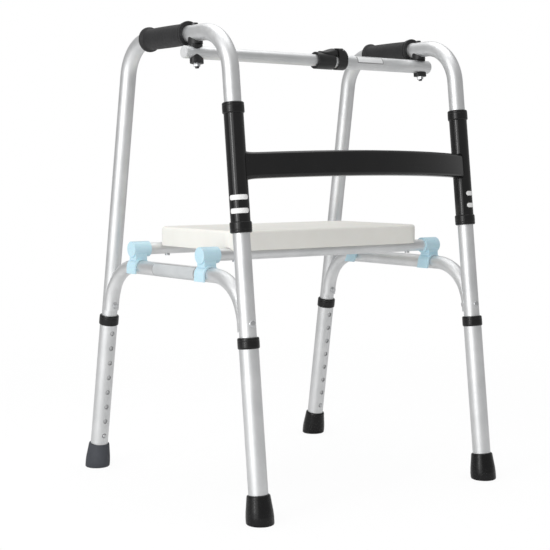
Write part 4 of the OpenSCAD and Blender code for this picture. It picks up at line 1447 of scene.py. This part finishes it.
@dataclass
class Clamp:
    """The flip-lever clamp on the top bar: its collar, the ring with rounded cheeks and the domed lever."""

    stance: Stance
    finishes: Finishes
    radius: float = 0.0136
    inner_bore: float = 0.0096
    outer_bore: float = 0.01105
    step: float = 0.0163
    seam: float = 0.007
    collar_start: float = -0.001
    collar_end: float = 0.034
    collar_round: float = 0.0006
    ring_start: float = 0.040
    ring_end: float = 0.058
    ring_round: float = 0.0008
    pin_x: float = 0.049
    pin_height: float = 0.01755
    barrel: float = 0.0033
    lever_tip: float = 0.0085
    lever_back: float = 0.0393
    lever_gap: float = 0.00035
    tip_half: float = 0.0045
    lever_widen: float = 0.006
    tip_thick: float = 0.0013
    lever_rise: float = 0.0053
    widen_share: float = 0.55
    rise_start: float = 0.08
    rise_share: float = 0.8
    dome_power: float = 0.75
    hub_half: float = 0.0085
    hub_lap: float = 0.003
    hub_top: float = 0.0029
    hub_flat: float = 0.95
    hub_inset: float = 0.93
    cheek_in: float = 0.00885
    cheek_out: float = 0.0134
    cheek_top: float = 0.0204
    cheek_low: float = 0.0112
    cheek_foot: float = 0.002
    cheek_inner_foot: float = 0.008
    shoulder_powers: tuple[float, float] = (1.1, 0.6)
    crown: float = 0.3
    crown_rise: float = 0.0006
    wall_start: float = 0.0044
    wall_end: float = 0.0003
    wall_least: float = 0.0012
    wall_lap: float = 0.0006
    wall_gap: float = 0.0004

    def build(self) -> None:
        """Make the clamp's pieces."""
        self._collar()
        self._ring()
        self._lever()

    def _piece(self, part: str, body: str) -> Piece:
        """An empty piece in the clamp's plastic."""
        return self.finishes.piece(f"clamp_{part}_skin", body, "clamp_plastic")

    def _placed(self, along: np.ndarray, across: np.ndarray, height: np.ndarray) -> np.ndarray:
        """A capped grid from places along the bar, across it and above its axis."""
        return capped(self.stance.bar().origin + np.stack(np.broadcast_arrays(along, across, height), -1))

    def _collar(self) -> None:
        """Collar, turned about the bar: its mouth fits the inner tube, its other half the outer tube."""
        low, high, inner, outer = self.collar_start, self.collar_end, self.inner_bore, self.outer_bore
        profile = soft_corners([
            (inner, self.seam), (inner, low), (self.radius, low), (self.radius, high), (outer, high),
            (outer, self.step), (inner, self.step), (inner, self.seam),
        ], self.collar_round)
        piece = self._piece("collar", "bar_outer")
        piece.add(self.stance.bar().turned(profile)).make(Crease.TURNED, "clamp_collar")

    def _ring(self) -> None:
        """Ring with two cheeks that carry the pin and a low wall behind the lever's hub."""
        profile = tube_profile(self.outer_bore, self.radius, self.ring_start, self.ring_end, self.ring_round)
        piece = self._piece("ring", "bar_outer").add(self.stance.bar().turned(profile))
        piece.add(self._cheek(-1.0)).add(self._cheek(1.0)).add(self._back_wall())
        piece.make(Crease.MOULDED, "clamp_ring")

    def _cheek_height(self, along: np.ndarray) -> np.ndarray:
        """Top of the cheeks: a slow rise to their crown, then a quarter ellipse down to the ring's end.

        Args:
            along: Places along the bar.

        Returns:
            Heights above the bar's axis.
        """
        share = (along - self.ring_start) / (self.ring_end - self.ring_start)
        before = np.clip((self.crown - share) / self.crown, 0.0, 1.0)
        after = np.clip((share - self.crown) / (1.0 - self.crown), 0.0, 1.0)
        rise = self.cheek_top - self.crown_rise * before**2 - self.cheek_low
        return self.cheek_low + rise * np.sqrt(1.0 - after**2)

    def _cheek(self, way: float, rows: int = 30, steps: int = 18, back_steps: int = 8) -> np.ndarray:
        """One cheek: a rounded section, from its inner top over its shoulder to the ring, along the bar.

        Args:
            way: Side of the bar, minus one in front and one behind.
            rows: Sections along the bar.
            steps: Points of the shoulder.
            back_steps: Points of the inner face.

        Returns:
            Closed grid of the cheek.
        """
        share = (1.0 - np.cos(np.linspace(0.0, math.pi, rows))) / 2
        along = (self.ring_start + share * (self.ring_end - self.ring_start))[:, None]
        top = self._cheek_height(along)
        turn = np.linspace(0.0, QUARTER, steps)
        out, drop = self.shoulder_powers
        shoulder = self.cheek_in + (self.cheek_out - self.cheek_in) * np.sin(turn) ** out
        shoulder_height = self.cheek_foot + (top - self.cheek_foot) * np.cos(turn).clip(0.0) ** drop
        back = np.linspace(0.0, 1.0, back_steps)[:-1]
        back_height = self.cheek_inner_foot + (top - self.cheek_inner_foot) * back
        across = np.concatenate([shoulder, np.full_like(back, self.cheek_in)])
        return self._placed(along, across * way, np.concatenate([shoulder_height, back_height], 1))

    def _back_wall(self, rows: int = 14, steps: int = 9) -> np.ndarray:
        """Low wall between the cheeks, as high as they are behind the hub.

        Args:
            rows: Sections along the bar.
            steps: Points across the wall.

        Returns:
            Closed grid of the wall.
        """
        along = np.linspace(self.pin_x + self.wall_start, self.ring_end - self.wall_end, rows)[:, None]
        top = np.maximum(self._cheek_height(along), self.cheek_low + self.wall_least) - self.wall_gap
        half = np.linspace(-1.0, 1.0, steps) * (self.cheek_in + self.wall_lap)
        foot = np.full((rows, steps), self.outer_bore + self.wall_gap)
        return self._placed(along, np.concatenate([half, -half]), np.hstack([np.repeat(top, steps, 1), foot]))

    def _lever(self, rows: int = 34, steps: int = 33) -> None:
        """Lever: a dome that hugs the collar, from a thin tip to its full height, and a hub around the pin.

        A point at v across the bar lies on the collar at height sqrt(radius^2 - v^2).

        Args:
            rows: Sections along the bar.
            steps: Points of the dome.
        """
        share = np.linspace(0.0, 1.0, rows)[:, None]
        along = self.lever_tip + share * (self.lever_back - self.lever_tip)
        narrow = 1.0 - np.clip(share / self.widen_share, 0.0, 1.0)
        half = self.tip_half + self.lever_widen * np.sqrt(1.0 - narrow**2)
        hug = self.radius + self.lever_gap
        top = hug + self.tip_thick + self.lever_rise * smooth((share - self.rise_start) / self.rise_share)
        edge = np.sqrt(hug**2 - half**2)
        turn = np.linspace(-QUARTER, QUARTER, steps)
        dome = edge + (top - edge) * np.cos(turn).clip(0.0) ** self.dome_power
        under = half * np.linspace(1.0, -1.0, steps)[1:-1]
        across = np.hstack([half * np.sin(turn), under])
        shell = self._placed(along, across, np.hstack([dome, np.sqrt(hug**2 - under**2)]))
        self._piece("lever", "lever").add(shell).add(self._hub()).make(Crease.SOFT, "clamp_lever")

    def _hub(self, steps: int = 25) -> np.ndarray:
        """Hub: a half circle about the pin and a block to the lever, carried across the bar.

        Args:
            steps: Points of the half circle.

        Returns:
            Closed grid of the hub.
        """
        turn = np.linspace(-QUARTER, QUARTER, steps)
        front = self.lever_back - self.hub_lap
        block = [self.pin_height + self.hub_top, self.radius + self.lever_gap]
        along = np.concatenate([self.pin_x + self.barrel * np.cos(turn), [front, front]])
        height = np.concatenate([self.pin_height + self.barrel * np.sin(turn), block])
        inset = np.array([self.hub_inset, 1.0, 1.0, self.hub_inset])[:, None]
        across = self.hub_half * np.array([-1.0, -self.hub_flat, self.hub_flat, 1.0])[:, None]
        middle_x, middle_z = along.mean(), height.mean()
        return self._placed(
            middle_x + (along - middle_x) * inset, across, middle_z + (height - middle_z) * inset
        )


@dataclass(frozen=True)
class Lamp:
    """An area lamp that faces a point above the frame's middle, square unless its tall side is given."""

    name: str
    place: Place
    aim_height: float
    size: float
    power: float
    tall: float | None = None
    mirrored: bool = True

    def build(self) -> None:
        """Put the lamp in the scene, turned by the angles of the way from it to its aim."""
        light = bpy.data.lights.new(self.name, "AREA")
        light.size = self.size
        light.energy = self.power
        if self.tall is not None:
            light.shape = "RECTANGLE"
            light.size_y = self.tall
        toward = self.aim_height * Z_AXIS - np.array(self.place)
        toward /= np.linalg.norm(toward)
        lamp = bpy.data.objects.new(self.name, light)
        lamp.location = self.place
        lamp.rotation_euler = (math.acos(-toward[2]), 0.0, math.atan2(-toward[0], toward[1]))
        lamp.visible_glossy = self.mirrored
        bpy.context.scene.collection.objects.link(lamp)


@dataclass
class Studio:
    """The camera at the photograph's angle, soft lamps, a white surround and a plain pale floor."""

    camera_place: Place = (-1.2922, -1.6836, 0.504)
    camera_yaw: float = 0.644
    camera_pitch: float = -0.051
    focal_pixels: float = 1287.34
    image_pixels: float = 550.0
    axis_row: float = 234.44
    sensor: float = 36.0
    clip_end: float = 50.0
    seen_grey: float = 1.0
    mirrored_grey: float = 0.43
    soft_grey: float = 0.46
    floor_reach: float = 14.0
    floor_grey: float = 0.82
    shade_grey: float = 0.085
    through_grey: float = 0.92
    fade_start: float = 0.7
    fade_stop: float = 1.8
    lamps: tuple[Lamp, ...] = (
        Lamp("key_lamp", (-2.35, -0.75, 1.1), 0.4, 2.4, 26.0),
        Lamp("strip_lamp", (-2.3, -0.75, 1.0), 0.45, 0.3, 12.0, tall=1.8),
        Lamp("top_lamp", (0.1, 0.2, 2.6), 0.4, 2.4, 30.0),
        Lamp("fill_lamp", (0.7, -2.7, 1.0), 0.4, 1.6, 4.0, mirrored=False),
    )

    def build(self) -> None:
        """Set up the camera, the lamps, the surround and the floor."""
        self._camera()
        for lamp in self.lamps:
            lamp.build()
        self._surround()
        self._floor()
        bpy.context.scene.view_settings.view_transform = "Standard"

    def _camera(self) -> None:
        """Camera fitted to the legs' edges in the photograph."""
        lens = bpy.data.cameras.new("camera")
        lens.sensor_width = self.sensor
        lens.lens = self.sensor * self.focal_pixels / self.image_pixels
        lens.shift_y = (self.axis_row - self.image_pixels / 2) / self.image_pixels
        lens.clip_end = self.clip_end
        camera = bpy.data.objects.new("camera", lens)
        camera.location = self.camera_place
        camera.rotation_euler = (QUARTER + self.camera_pitch, 0.0, -self.camera_yaw)
        bpy.context.scene.collection.objects.link(camera)
        bpy.context.scene.camera = camera

    def _surround(self) -> None:
        """White to the camera, a grey to reflections and another grey to the object's other light."""
        world = bpy.data.worlds.new("surround")
        bpy.context.scene.world = world
        world.use_nodes = True
        nodes = Nodes(world.node_tree)
        path = nodes.node("LightPath").outputs
        greys = (self.seen_grey, self.mirrored_grey, self.soft_grey)
        seen, mirrored, soft = (nodes.shade("Background", grey) for grey in greys)
        other = nodes.mix(path["Is Glossy Ray"], soft, mirrored)
        nodes.node("OutputWorld", nodes.mix(path["Is Camera Ray"], other, seen))

    def _floor(self) -> None:
        """Floor that is matt to the object's light and clear to shadow rays.

        To the camera it is a faint shade over what lies below, so that a leg that slides down still shows. It
        fades to clear with the distance from the middle.
        """
        corners = self.floor_reach * np.array([[-1, -1, 0], [1, -1, 0], [1, 1, 0], [-1, 1, 0]])
        mesh = bpy.data.meshes.new("floor")
        mesh.from_pydata(corners.tolist(), [], [(0, 1, 2, 3)])
        floor = bpy.data.objects.new("floor", mesh)
        bpy.context.scene.collection.objects.link(floor)
        material = bpy.data.materials.new("pale_floor")
        material.use_nodes = True
        nodes = Nodes(material.node_tree)
        path = nodes.node("LightPath").outputs
        matt, shade = (nodes.shade("BsdfDiffuse", grey) for grey in (self.floor_grey, self.shade_grey))
        through, clear = (nodes.shade("BsdfTransparent", grey) for grey in (self.through_grey, 1.0))
        away = nodes.node("VectorMath", nodes.node("TexCoord").outputs["Object"])
        away.operation = "LENGTH"
        fade = nodes.spread(away.outputs["Value"], 1.0, 0.0, self.fade_start, self.fade_stop)
        fade.node.interpolation_type = "SMOOTHSTEP"
        shown = nodes.mix(fade, clear, nodes.node("AddShader", shade, through).outputs["Shader"])
        lit = nodes.mix(path["Is Camera Ray"], matt, shown)
        nodes.node("OutputMaterial", nodes.mix(path["Is Shadow Ray"], lit, clear))
        mesh.materials.append(material)


def main() -> None:
    """Dress the frame and set up its picture."""
    logging.basicConfig(level=logging.INFO, format="%(name)s: %(message)s")
    stance = Stance()
    finishes = Finishes()
    finishes.dress_nodes()
    Studio().build()
    for side in Side:
        SideFrame(stance, side, finishes).build()
        for end in End:
            LowerLeg(stance, side, end, finishes).build()
    FrontFrame(stance, finishes).build()
    Seat(finishes).build()
    Bar(stance, finishes).build()
    BracketPads(stance, finishes).build()
    Clamp(stance, finishes).build()


if __name__ == "__main__":
    main()
